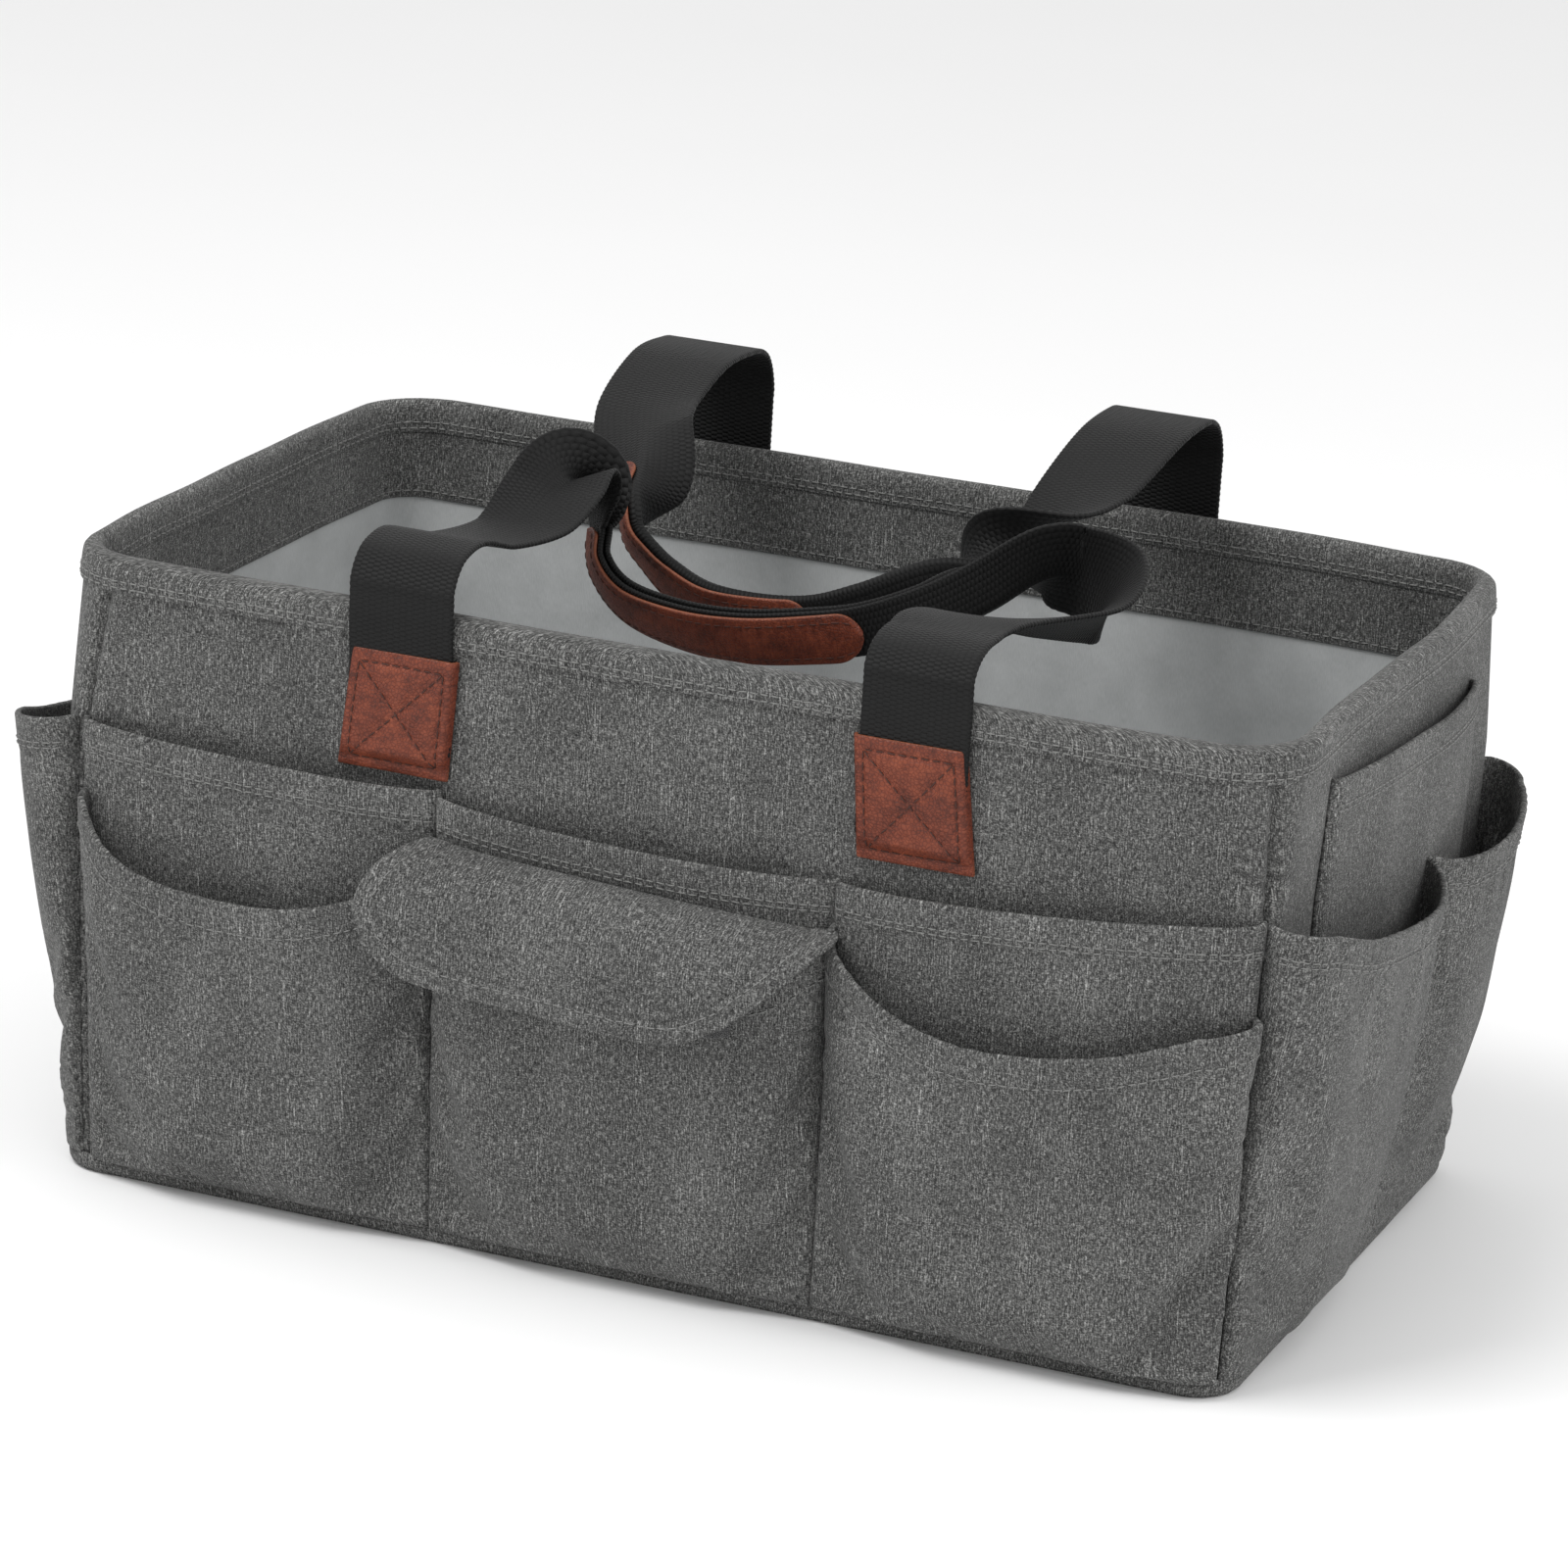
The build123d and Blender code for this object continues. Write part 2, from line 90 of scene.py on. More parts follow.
# Middle of each handle's webbing from left to right, the way its width points, and its width
ROUTES = {
    "front": [
        ((-77, -105.5, 216), (1, 0, 0), 32), ((-76.5, -98, 215), (1, 0, 0), 32),
        ((-73, -84, 211), (1, 0, 0.05), 32), ((-67, -62, 211), (1, 0, 0.1), 32),
        ((-63, -43, 217), (1, 0, 0.2), 29), ((-62, -28, 219), (0.9, -0.1, 0.4), 23),
        ((-62, -19, 211), (0.8, -0.6, -0.1), 18), ((-61, -17, 201), (0.6, -0.8, 0.2), 16),
        ((-56, -24, 191), (0.4, -0.75, 0.5), 16),
        ((-43, -32, 184), (0.25, -0.65, 0.7), 16), ((-21, -40, 182), (0.1, -0.5, 0.85), 16),
        ((0, -44, 183), (0, -0.35, 0.93), 16), ((20, -43, 186), (-0.05, -0.25, 0.97), 16),
        ((36, -38, 189), (-0.05, -0.15, 1), 16), ((52, -28, 195), (-0.1, 0, 1), 16),
        ((66, -16, 201), (-0.1, 0, 1), 20), ((81, -5, 208), (0, -0.2, 1), 28),
        ((92, -1, 207), (0.1, -0.3, 1), 32), ((106, -14, 205), (0.5, -0.1, 0.85), 32),
        ((104, -42, 204), (0.9, 0, 0.4), 32), ((86, -84, 212), (1, 0, 0), 32),
        ((85, -105.5, 213), (1, 0, 0), 32),
    ],
    "back": [
        ((-77, 105.5, 233), (1, 0, 0), 32), ((-77, 82, 233), (1, 0, 0), 32),
        ((-76, 56, 225), (1, 0.05, 0.1), 32), ((-70, 38, 219), (0.95, -0.1, 0.3), 32),
        ((-66, 24, 213), (0.85, -0.4, 0.4), 28), ((-64, 14, 207), (0.6, -0.7, 0.45), 22),
        ((-61, 8, 201), (0.4, -0.75, 0.5), 17), ((-58, 5, 195), (0.35, -0.75, 0.55), 16),
        ((-52, 3, 190), (0.3, -0.7, 0.6), 16), ((-43, 1, 184), (0.2, -0.6, 0.75), 16),
        ((-29, -2, 179), (0.1, -0.5, 0.85), 16), ((-11, -4, 178), (0, -0.3, 0.95), 16),
        ((7, -4, 180), (0, -0.2, 1), 16), ((23, -2, 186), (-0.1, -0.1, 1), 16),
        ((42, 5, 195), (-0.2, 0, 1), 17), ((56, 14, 198), (0.2, -0.4, 0.9), 22),
        ((66, 31, 208), (0.8, -0.5, 0.3), 30), ((72, 54, 219), (0.95, -0.3, 0), 32),
        ((76, 82, 230), (1, 0, 0), 32), ((77, 105.5, 232), (1, 0, 0), 32),
    ],
}
GRIP_SPANS = {"front": (7, 13), "back": (4, 12)}    # the grip runs between these two points
FOLD_SIDES = {"front": 1, "back": -1}               # which half of the webbing carries the leather

# ---------------------------------------------------------------- camera, floor and light

AZIMUTH = radians(21.004)
ELEVATION = radians(17.131)
ROLL = radians(3.537)
LENS = 144.2
SENSOR = 36.0
NEAREST_SEEN = 0.05     # metres
CAMERA_OFFSET = (6.34, 119.57, 1978.8)      # right, up and back in the camera's own directions


def set_camera():
    """The camera: turned, raised and rolled to a fixed view of the front and the right end."""
    back = Vector((sin(AZIMUTH) * cos(ELEVATION), -cos(AZIMUTH) * cos(ELEVATION), sin(ELEVATION)))
    right = Vector((cos(AZIMUTH), sin(AZIMUTH), 0))
    up = back.cross(right)
    rolled_right = cos(ROLL) * right + sin(ROLL) * up
    rolled_up = cos(ROLL) * up - sin(ROLL) * right
    place = sum((axis * step * MM for axis, step
                 in zip((rolled_right, rolled_up, back), CAMERA_OFFSET)), Vector())
    camera = bpy.data.objects.new("camera", bpy.data.cameras.new("camera"))
    camera.data.lens = LENS
    camera.data.sensor_width = SENSOR
    camera.data.clip_start = NEAREST_SEEN
    camera.matrix_world = Matrix.Translation(place) @ Matrix(
        (rolled_right, rolled_up, back)).transposed().to_4x4()
    bpy.context.scene.collection.objects.link(camera)
    bpy.context.scene.camera = camera


BAG_MIDDLE = Vector((0, 0, 0.1))


def softbox(name, place, size, power):
    """A square area light that points at the bag."""
    lamp = bpy.data.lights.new(name, "AREA")
    lamp.size = size
    lamp.energy = power
    box = bpy.data.objects.new(name, lamp)
    box.location = place
    box.rotation_euler = (BAG_MIDDLE - Vector(place)).to_track_quat("-Z", "Y").to_euler()
    bpy.context.scene.collection.objects.link(box)


# ---------------------------------------------------------------- materials

class Number:
    """A value in a shader. Arithmetic on it adds Math nodes."""

    def __init__(self, finish, socket):
        self.finish = finish
        self.socket = socket

    def __add__(self, other):
        return self.finish.maths("ADD", self, other)

    def __sub__(self, other):
        return self.finish.maths("SUBTRACT", self, other)

    def __rsub__(self, other):
        return self.finish.maths("SUBTRACT", other, self)

    def __mul__(self, other):
        return self.finish.maths("MULTIPLY", self, other)

    def __truediv__(self, other):
        return self.finish.maths("DIVIDE", self, other)

    __radd__ = __add__
    __rmul__ = __mul__


class Finish:
    """One procedural material."""

    def __init__(self, name):
        self.material = bpy.data.materials.new(name)
        self.material.use_nodes = True
        self.tree = self.material.node_tree
        self.tree.nodes.clear()

    def node(self, kind, settings=None, inputs=None):
        """Adds a node, its settings first, then the values or links of its sockets."""
        made = self.tree.nodes.new("ShaderNode" + kind)
        for name, value in (settings or {}).items():
            if name == "stops":
                self.set_stops(made.color_ramp, value)
            else:
                setattr(made, name, value)
        for name, value in (inputs or {}).items():
            if isinstance(value, Number):
                self.tree.links.new(value.socket, made.inputs[name])
            elif isinstance(value, bpy.types.NodeSocket):
                self.tree.links.new(value, made.inputs[name])
            else:
                made.inputs[name].default_value = value
        return made

    def set_stops(self, ramp, stops):
        """Places a colour ramp's stops."""
        while len(ramp.elements) < len(stops):
            ramp.elements.new(0.5)
        for element, (place, colour) in zip(ramp.elements, stops):
            element.position = place
            element.color = (*colour, 1)

    def maths(self, operation, first, second=0.0):
        """A Math node on two values."""
        made = self.node("Math", {"operation": operation}, {0: first, 1: second})
        return Number(self, made.outputs[0])

    def spread(self, value, low, high):
        """0 to 1 as a value goes from low to high, held at both ends."""
        made = self.node("MapRange", {"clamp": True},
                         {"Value": value, "From Min": low, "From Max": high})
        return Number(self, made.outputs["Result"])

    def cloth_place(self):
        """Place along and across the cloth, in millimetres."""
        place = self.node("UVMap", {"uv_map": "cloth"})
        parts = self.node("SeparateXYZ", inputs={0: place.outputs[0]})
        return (Number(self, parts.outputs[0]) * 1000, Number(self, parts.outputs[1]) * 1000)

    def noise(self, across, along, detail=2.0, roughness=0.5, seed=0.0):
        """Noise over two coordinates, about 0.5 in the middle."""
        place = self.node("CombineXYZ", inputs={0: across, 1: along, 2: seed})
        made = self.node("TexNoise", {"noise_dimensions": "3D"}, {
            "Vector": place.outputs[0], "Scale": 1.0, "Detail": detail, "Roughness": roughness})
        return Number(self, made.outputs[0])

    def mix(self, share, first, second):
        """Between two colours."""
        made = self.node("Mix", {"data_type": "RGBA"}, {0: share, 6: first, 7: second})
        return made.outputs[2]

    def ramp(self, value, stops):
        """A colour from a value."""
        made = self.node("ValToRGB", {"stops": stops}, {"Fac": value})
        return made.outputs[0]

    def bump(self, height, distance, strength=1.0):
        """Normal from a height between 0 and 1, which stands for this many millimetres."""
        made = self.node("Bump", inputs={
            "Height": height, "Distance": distance * MM, "Strength": strength})
        return made.outputs[0]

    def surface(self, inputs):
        """The Principled shader, and the material's output."""
        shader = self.node("BsdfPrincipled", inputs=inputs)
        self.node("OutputMaterial", inputs={"Surface": shader.outputs[0]})
        return self.material


def linear(red, green, blue):
    """Linear colour from display values of 0 to 255."""
    parts = []
    for value in (red, green, blue):
        share = value / 255
        parts.append(share / 12.92 if share <= 0.04045 else ((share + 0.055) / 1.055) ** 2.4)
    return tuple(parts)


def heather(name, dark, middle, light, pale, yarn=0.45):
    """Mottled plain-weave cloth: every yarn has its own grey, with pale slubs along the warp."""
    f = Finish(name)
    across, along = f.cloth_place()
    warp = f.noise(across / 0.42, along / 2.2, 2, 0.65, 3)
    weft = f.noise(across / 1.5, along / 0.42, 2, 0.65, 7)
    fleck = f.noise((across + along) / 0.65, (across - along) / 0.95, 2, 0.7, 11)
    slub = f.spread(f.noise(across / 0.5, along / 18, 1, 0.5, 17), 0.60, 0.74)
    cloud = f.noise(across / 30, along / 50, 3, 0.6, 23)
    tone = f.spread(warp * 0.4 + weft * 0.24 + fleck * 0.36, 0.38, 0.63)
    tone = tone * 0.86 + slub * 0.24 + (cloud - 0.5) * 0.26
    colour = f.ramp(tone, [(0.0, dark), (0.42, middle), (0.8, light), (1.0, pale)])
    ridge = f.maths("SINE", across * (pi / yarn)) * f.maths("SINE", along * (pi / yarn))
    height = ridge * 0.22 + tone * 0.56 + 0.22
    return f.surface({
        "Base Color": colour, "Roughness": 0.9, "Sheen Weight": 0.06, "Sheen Roughness": 0.5,
        "Specular IOR Level": 0.2, "Normal": f.bump(height, 0.16, 0.8)})


def smooth_lining(name, colour):
    """Thin coated lining cloth with a fine weave and a soft shine."""
    f = Finish(name)
    across, along = f.cloth_place()
    cloud = f.noise(across / 24, along / 30, 4, 0.6, 5)
    thread = f.noise(across / 0.35, along / 2, 1, 0.5, 9)
    tone = f.spread(cloud * 0.7 + thread * 0.3, 0.3, 0.7)
    pale = tuple(min(1, part * 1.18) for part in colour)
    deep = tuple(part * 0.84 for part in colour)
    height = cloud * 0.8 + thread * 0.1
    return f.surface({
        "Base Color": f.mix(tone, (*deep, 1), (*pale, 1)), "Roughness": tone * 0.15 + 0.42,
        "Specular IOR Level": 0.4, "Normal": f.bump(height, 1.1, 0.7)})


def ribbed_webbing(name, dark, light):
    """Black webbing: fine ribs across its width, in narrow columns that alternate. Its colour is a
    painted highlight on the rib tops and painted shade in the grooves, with random yarn tone.
    """
    f = Finish(name)
    across, along = f.cloth_place()
    column = f.maths("FLOOR", across / 2.0)
    stagger = f.maths("MODULO", column, 2) * 0.5
    rib = f.maths("ABSOLUTE", f.maths("SINE", (along / 1.45 + stagger) * pi))
    groove = f.maths("ABSOLUTE", f.maths("SINE", across * (pi / 2.0)))
    yarn = f.noise(across / 0.5, along / 0.9, 1, 0.5, 3)
    height = rib * 0.62 + groove * 0.23 + yarn * 0.15
    # painted light: colour follows the rib height, lighter on rib tops (painted highlight) and
    # darker in grooves (painted shade), plus random tone
    tone = f.spread(height + (f.noise(across / 9, along / 14, 2, 0.5, 8) - 0.5) * 0.3, 0.2, 1.05)
    return f.surface({
        "Base Color": f.mix(tone, (*dark, 1), (*light, 1)), "Roughness": 0.62,
        "Sheen Weight": 0.04, "Sheen Roughness": 0.4, "Specular IOR Level": 0.25,
        "Normal": f.bump(height, 0.4, 1.0)})


def brown_leather(name, dark, middle, light, edge):
    """Semi-gloss leather with a fine cracked grain, paler where it was cut."""
    f = Finish(name)
    across, along = f.cloth_place()
    place = f.node("CombineXYZ", inputs={0: across, 1: along, 2: 0.0})
    wander = f.node("TexNoise", {"noise_dimensions": "3D"},
                    {"Vector": place.outputs[0], "Scale": 0.4, "Detail": 3.0})
    shifted = f.node("Mix", {"data_type": "VECTOR"}, {
        0: 0.35, 4: place.outputs[0], 5: wander.outputs["Color"]})
    grain = f.node("TexVoronoi", {"feature": "DISTANCE_TO_EDGE"},
                   {"Vector": shifted.outputs[1], "Scale": 1.45})
    crack = f.spread(Number(f, grain.outputs["Distance"]), 0.0, 0.16)
    crease = f.spread(f.noise(across / 5, along / 1.7, 3, 0.65, 4), 0.42, 0.62)
    cloud = f.noise(across / 9, along / 12, 4, 0.6, 6)
    tone = f.spread(cloud * 0.75 + crack * 0.2 + crease * 0.12, 0.25, 0.85)
    hide = f.ramp(tone, [(0.0, dark), (0.5, middle), (1.0, light)])
    cut = f.node("Attribute", {"attribute_name": "cut_edge"})
    colour = f.mix(Number(f, cut.outputs["Fac"]) * 0.8, hide, (*edge, 1))
    height = crack * 0.5 + crease * 0.35 + cloud * 0.15
    return f.surface({
        "Base Color": colour, "Roughness": 0.52 - crack * 0.12 + cloud * 0.1,
        "Specular IOR Level": 0.38, "Normal": f.bump(height, 0.22, 0.9)})


def sewing_thread(name, colour):
    """Twisted polyester thread, darker in the grooves of its twist as painted shade."""
    f = Finish(name)
    across, along = f.cloth_place()
    twist = f.maths("ABSOLUTE", f.maths("SINE", (along * 2.2 + across * 1.5) * pi))
    # painted shade: the colour falls to 0.6 of the thread's colour in the twist grooves, the same
    # wave as the bump
    tone = f.mix(twist, tuple([part * 0.6 for part in colour] + [1]), (*colour, 1))
    return f.surface({"Base Color": tone, "Roughness": 0.6, "Normal": f.bump(twist, 0.06)})


def grey_board(name, colour):
    """Stiffening board, faintly speckled."""
    f = Finish(name)
    place = f.node("TexCoord")
    fibre = f.node("TexNoise", inputs={
        "Vector": place.outputs["Object"], "Scale": 900.0, "Detail": 3.0})
    tone = Number(f, fibre.outputs[0])
    return f.surface({
        "Base Color": f.mix(tone, tuple([part * 0.8 for part in colour] + [1]), (*colour, 1)),
        "Roughness": 0.8, "Normal": f.bump(tone, 0.1)})


def fuzzy_tape(name, colour):
    """Hook and loop tape: a dense field of tiny loops."""
    f = Finish(name)
    across, along = f.cloth_place()
    loops = f.noise(across / 0.35, along / 0.35, 2, 0.7, 2)
    tone = f.spread(loops, 0.35, 0.65)
    return f.surface({
        "Base Color": f.mix(tone, (0.004, 0.004, 0.004, 1), (*colour, 1)), "Roughness": 0.8,
        "Sheen Weight": 0.4, "Normal": f.bump(tone, 0.5)})


def paper_floor(name):
    """Matt white studio paper, very slightly uneven."""
    f = Finish(name)
    place = f.node("TexCoord")
    cloud = f.node("TexNoise", inputs={
        "Vector": place.outputs["Object"], "Scale": 3.0, "Detail": 2.0})
    tone = f.mix(Number(f, cloud.outputs[0]), (0.93, 0.93, 0.93, 1), (0.96, 0.96, 0.96, 1))
    return f.surface({"Base Color": tone, "Roughness": 0.9, "Specular IOR Level": 0.1})


CLOTH = heather("heather_cloth", linear(22, 22, 22), linear(78, 78, 77), linear(148, 148, 146),
               linear(196, 196, 194))
LINING_CLOTH = smooth_lining("lining_cloth", linear(178, 180, 180))
# strap webbing: the lighter colour is the painted highlight on the rib tops, the darker one the
# painted shade in the grooves
STRAP_WEBBING = ribbed_webbing("strap_webbing", linear(2, 2, 2), linear(22, 22, 22))
TRIM_LEATHER = brown_leather("trim_leather", linear(52, 20, 11), linear(106, 46, 27),
                             linear(140, 70, 44), linear(140, 84, 58))
GREY_THREAD = sewing_thread("grey_thread", linear(136, 136, 134))
BROWN_THREAD = sewing_thread("brown_thread", linear(70, 36, 26))
STIFFENER = grey_board("stiffener", linear(190, 190, 186))
FASTENING = fuzzy_tape("fastening_tape", linear(30, 30, 30))

# ---------------------------------------------------------------- the bag's outline

STRAIGHT_X = LENGTH / 2 - CORNER        # straight part of the outline, each side of its middle
STRAIGHT_Y = WIDTH / 2 - CORNER
TURN = pi / 2 * CORNER
LONG_RUN = 2 * STRAIGHT_X
SHORT_RUN = 2 * STRAIGHT_Y
ROUND = 2 * (LONG_RUN + SHORT_RUN) + 4 * TURN
STATIONS = np.cumsum([0, LONG_RUN, TURN, SHORT_RUN, TURN, LONG_RUN, TURN, SHORT_RUN, TURN])
TURNS_AT_X = np.array([-1, 1, 1, 1, 1, -1, -1, -1, -1.0])
TURNS_AT_Y = np.array([-1, -1, -1, 1, 1, 1, 1, -1, -1.0])
FACING = np.radians([-90, -90, 0, 0, 90, 90, 180, 180, 270])
QUARTER = STRAIGHT_X + TURN + STRAIGHT_Y
WALL_MIDDLE = {"front": 0.0, "right": QUARTER, "back": 2 * QUARTER, "left": -QUARTER}
# The four corner seams, as places round the bag from the front's middle
SEAMS = {"front_left": -178.0, "front_right": 187.0, "back_right": 2 * QUARTER - 182,
         "back_left": 2 * QUARTER + 182}
WALL_SPANS = {
    "front": (SEAMS["front_left"], SEAMS["front_right"]),
    "right": (SEAMS["front_right"], SEAMS["back_right"]),
    "back": (SEAMS["back_right"], SEAMS["back_left"]),
    "left": (SEAMS["back_left"] - ROUND, SEAMS["front_left"]),
}
# Where the rim has sunk inward: place round the bag, depth, and how far it reaches
SLUMPS = ((QUARTER + STRAIGHT_Y + TURN / 2, 4.0, 40.0), (-STRAIGHT_X - TURN / 2, 3.0, 30.0))


def lean(z):
    """How far a wall has moved outward at this height."""
    return FLARE * z / HEIGHT


def bow(s, z):
    """Soft unevenness of the walls, outward, growing towards the rim."""
    rise = np.clip(z / HEIGHT, 0, 1.05)
    turn = 2 * pi * s / ROUND
    wave = 0.9 * np.sin(3 * turn + 0.4) + 0.5 * np.sin(7 * turn + 2.1) + 0.2 * np.sin(19 * turn)
    belly = np.sin(pi * np.clip(rise, 0, 1)) * np.cos(2 * turn) ** 2
    slump = 0.0
    for middle, depth, reach in SLUMPS:
        apart = np.abs((s - middle + ROUND / 2) % ROUND - ROUND / 2)
        slump = slump + depth * np.exp(-(apart / reach) ** 2)
    return rise ** 1.5 * wave + 0.9 * belly - rise ** 2.5 * slump


def place(s, z, out):
    """Points at a distance s round the bag from the front's middle, at a height, outward."""
    s, z, out = np.broadcast_arrays(np.asarray(s, float), np.asarray(z, float),
                                    np.asarray(out, float))
    along = (s + STRAIGHT_X) % ROUND
    facing = np.interp(along, STATIONS, FACING)
    opened = (RIM_CORNER - CORNER) * np.clip((z - CORNER_OPENS) / (HEIGHT - CORNER_OPENS), 0, 1.05)
    grow = lean(z) - opened
    radius = CORNER + opened + out + bow(s, z)
    x = np.interp(along, STATIONS, TURNS_AT_X) * (STRAIGHT_X + grow) + radius * np.cos(facing)
    y = np.interp(along, STATIONS, TURNS_AT_Y) * (STRAIGHT_Y + grow) + radius * np.sin(facing)
    return np.stack([x, y, z], -1)


def on_wall(wall, across, z, out):
    """Points on a wall, measured from its middle."""
    return place(WALL_MIDDLE[wall] + np.asarray(across, float), z, out)


# ---------------------------------------------------------------- making meshes

def add_object(name, points, faces, uv, material, cut_edge=None):
    """A smooth-shaded mesh from millimetre points, with a cloth map in metres."""
    mesh = bpy.data.meshes.new(name)
    mesh.from_pydata((np.asarray(points) * MM).tolist(), [], faces)
    layer = mesh.uv_layers.new(name="cloth")
    corner = np.zeros(len(mesh.loops), np.int32)
    mesh.loops.foreach_get("vertex_index", corner)
    layer.data.foreach_set("uv", (np.asarray(uv)[corner] * MM).ravel())
    if cut_edge is not None:
        mesh.attributes.new("cut_edge", "FLOAT", "POINT").data.foreach_set("value", cut_edge)
    mesh.polygons.foreach_set("use_smooth", [True] * len(mesh.polygons))
    mesh.materials.append(material)
    mesh.update()
    made = bpy.data.objects.new(name, mesh)
    bpy.context.scene.collection.objects.link(made)
    return made


def normals_of(grid, loop=False):
    """Unit normals of a grid of points, by its two directions."""
    if loop:
        first = np.roll(grid, -1, 0) - np.roll(grid, 1, 0)
    else:
        first = np.gradient(grid, axis=0)
    second = np.gradient(grid, axis=1)
    normal = np.cross(first, second)
    return normal / np.maximum(np.linalg.norm(normal, axis=-1, keepdims=True), 1e-9)


def cloth_map(grid, start=(0.0, 0.0)):
    """Distances along both directions of a grid, from its middle column and its first row."""
    steps_u = np.linalg.norm(np.diff(grid, axis=0), axis=-1)
    u = np.concatenate([np.zeros((1, grid.shape[1])), np.cumsum(steps_u, 0)])
    u -= u[len(u) // 2]
    steps_v = np.linalg.norm(np.diff(grid, axis=1), axis=-1)
    v = np.concatenate([np.zeros((grid.shape[0], 1)), np.cumsum(steps_v, 1)], 1)
    return np.stack([u + start[0], v + start[1]], -1)


def capped(values, ends, how):
    """A grid with rows added beyond its ends along axis 0. how(edge, next_in, angle) fills them."""
    angles = np.radians([90, 55, 25])
    parts = [values]
    if ends[0]:
        parts.insert(0, np.stack([how(values[0], values[1], angle) for angle in angles]))
    if ends[1]:
        parts.append(np.stack([how(values[-1], values[-2], angle) for angle in angles[::-1]]))
    return np.concatenate(parts)


def thick_grid(grid, half, uv, caps):
    """Adds the rounded borders of a sheet to its middle surface, half thickness and map."""
    for axis, ends in enumerate(caps):
        grid, half, uv = (np.swapaxes(part, 0, axis) for part in (grid, half[..., None], uv))
        state = np.concatenate([grid, half, uv], -1)

        def beyond(edge, inner, angle):
            """One row of a rounded border."""
            outward = edge[:, :3] - inner[:, :3]
            size = np.maximum(np.linalg.norm(outward, axis=-1, keepdims=True), 1e-9)
            step = edge[:, 3:4] * sin(angle)
            shift = (edge[:, 4:] - inner[:, 4:]) / size * step
            return np.concatenate([edge[:, :3] + outward / size * step,
                                   edge[:, 3:4] * cos(angle), edge[:, 4:] + shift], -1)

        state = np.swapaxes(capped(state, ends, beyond), 0, axis)
        grid, half, uv = state[..., :3], state[..., 3], state[..., 4:]
    return grid, half, uv


def sheet(name, grid, thickness, material, uv=None, loop=False, caps=((1, 1), (1, 1)),
          start=(0.0, 0.0), edge_cut=False):
    """A closed sheet of some thickness about a grid of points. loop joins its ends round."""
    half = np.broadcast_to(np.asarray(thickness, float) / 2, grid.shape[:2]).copy()
    if uv is None:
        uv = cloth_map(grid, start)
    caps = ((0, 0), caps[1]) if loop else caps
    grid, half, uv = thick_grid(grid, half, uv, caps)
    normal = normals_of(grid, loop)
    columns, rows = grid.shape[:2]
    points = np.concatenate([(grid + normal * half[..., None]).reshape(-1, 3),
                             (grid - normal * half[..., None]).reshape(-1, 3)])
    index = np.arange(columns * rows).reshape(columns, rows)
    if loop:
        index = np.concatenate([index, index[:1]])
        uv = np.concatenate([uv, uv[:1]])
    quads = np.stack([index[:-1, :-1], index[1:, :-1], index[1:, 1:], index[:-1, 1:]], -1)
    quads = quads.reshape(-1, 4)
    faces = np.concatenate([quads, quads[:, ::-1] + columns * rows])
    flat_uv = uv[:columns].reshape(-1, 2)
    cut = None
    if edge_cut:
        thin = 1 - np.clip(half / np.maximum(half.max(), 1e-9), 0, 1)
        cut = np.tile(np.clip(thin.ravel() * 1.3, 0, 1), 2)
    made = add_object(name, points, faces.tolist(), np.tile(flat_uv, (2, 1)), material, cut)
    weld(made)
    return made


def weld(made, distance=0.002):
    """Joins a mesh's coincident points."""
    work = bmesh.new()
    work.from_mesh(made.data)
    bmesh.ops.remove_doubles(work, verts=work.verts, dist=distance * MM)
    work.to_mesh(made.data)
    work.free()


def grid_of(us, vs, point):
    """A grid of points, point(u, v) for every pair."""
    u, v = np.meshgrid(us, vs, indexing="ij")
    return point(u, v)


def curve_through(points, count):
    """Smooth line through points, by an even step of its own length."""
    points = np.asarray(points, float)
    padded = np.concatenate([2 * points[:1] - points[1:2], points,
                             2 * points[-1:] - points[-2:-1]])
    line = []
    for index in range(1, len(padded) - 2):
        before, first, last, after = padded[index - 1:index + 3]
        t = np.linspace(0, 1, 24, endpoint=False)[:, None]
        line.append(0.5 * (2 * first + (last - before) * t
                           + (2 * before - 5 * first + 4 * last - after) * t ** 2
                           + (3 * first - before - 3 * last + after) * t ** 3))
    line = np.concatenate([*line, padded[-2][None]])
    return evenly(line, count)


def lengths_along(line):
    """Length of a line of points from its start to each of them."""
    steps = np.linalg.norm(np.diff(line[:, :3], axis=0), axis=1)
    return np.concatenate([[0], np.cumsum(steps)])


def evenly(line, count):
    """Points at an even step along a line. Only its first three columns count as length."""
    length = lengths_along(line)
    wanted = np.linspace(0, length[-1], count)
    return np.stack([np.interp(wanted, length, part) for part in line.T], -1)


def length_of(line):
    """Length of a line of points."""
    return float(np.linalg.norm(np.diff(np.asarray(line)[:, :3], axis=0), axis=1).sum())


STITCH = 2.5
STITCH_GAP = 0.8
STITCH_RINGS = ((-0.5, 0.0, -0.25), (-0.42, 0.8, -0.1), (0.0, 1.0, 0.25),
                (0.42, 0.8, -0.1), (0.5, 0.0, -0.25))
STITCH_SIDES = 5
POCKET_THREAD = 0.24    # half the thickness of the thread


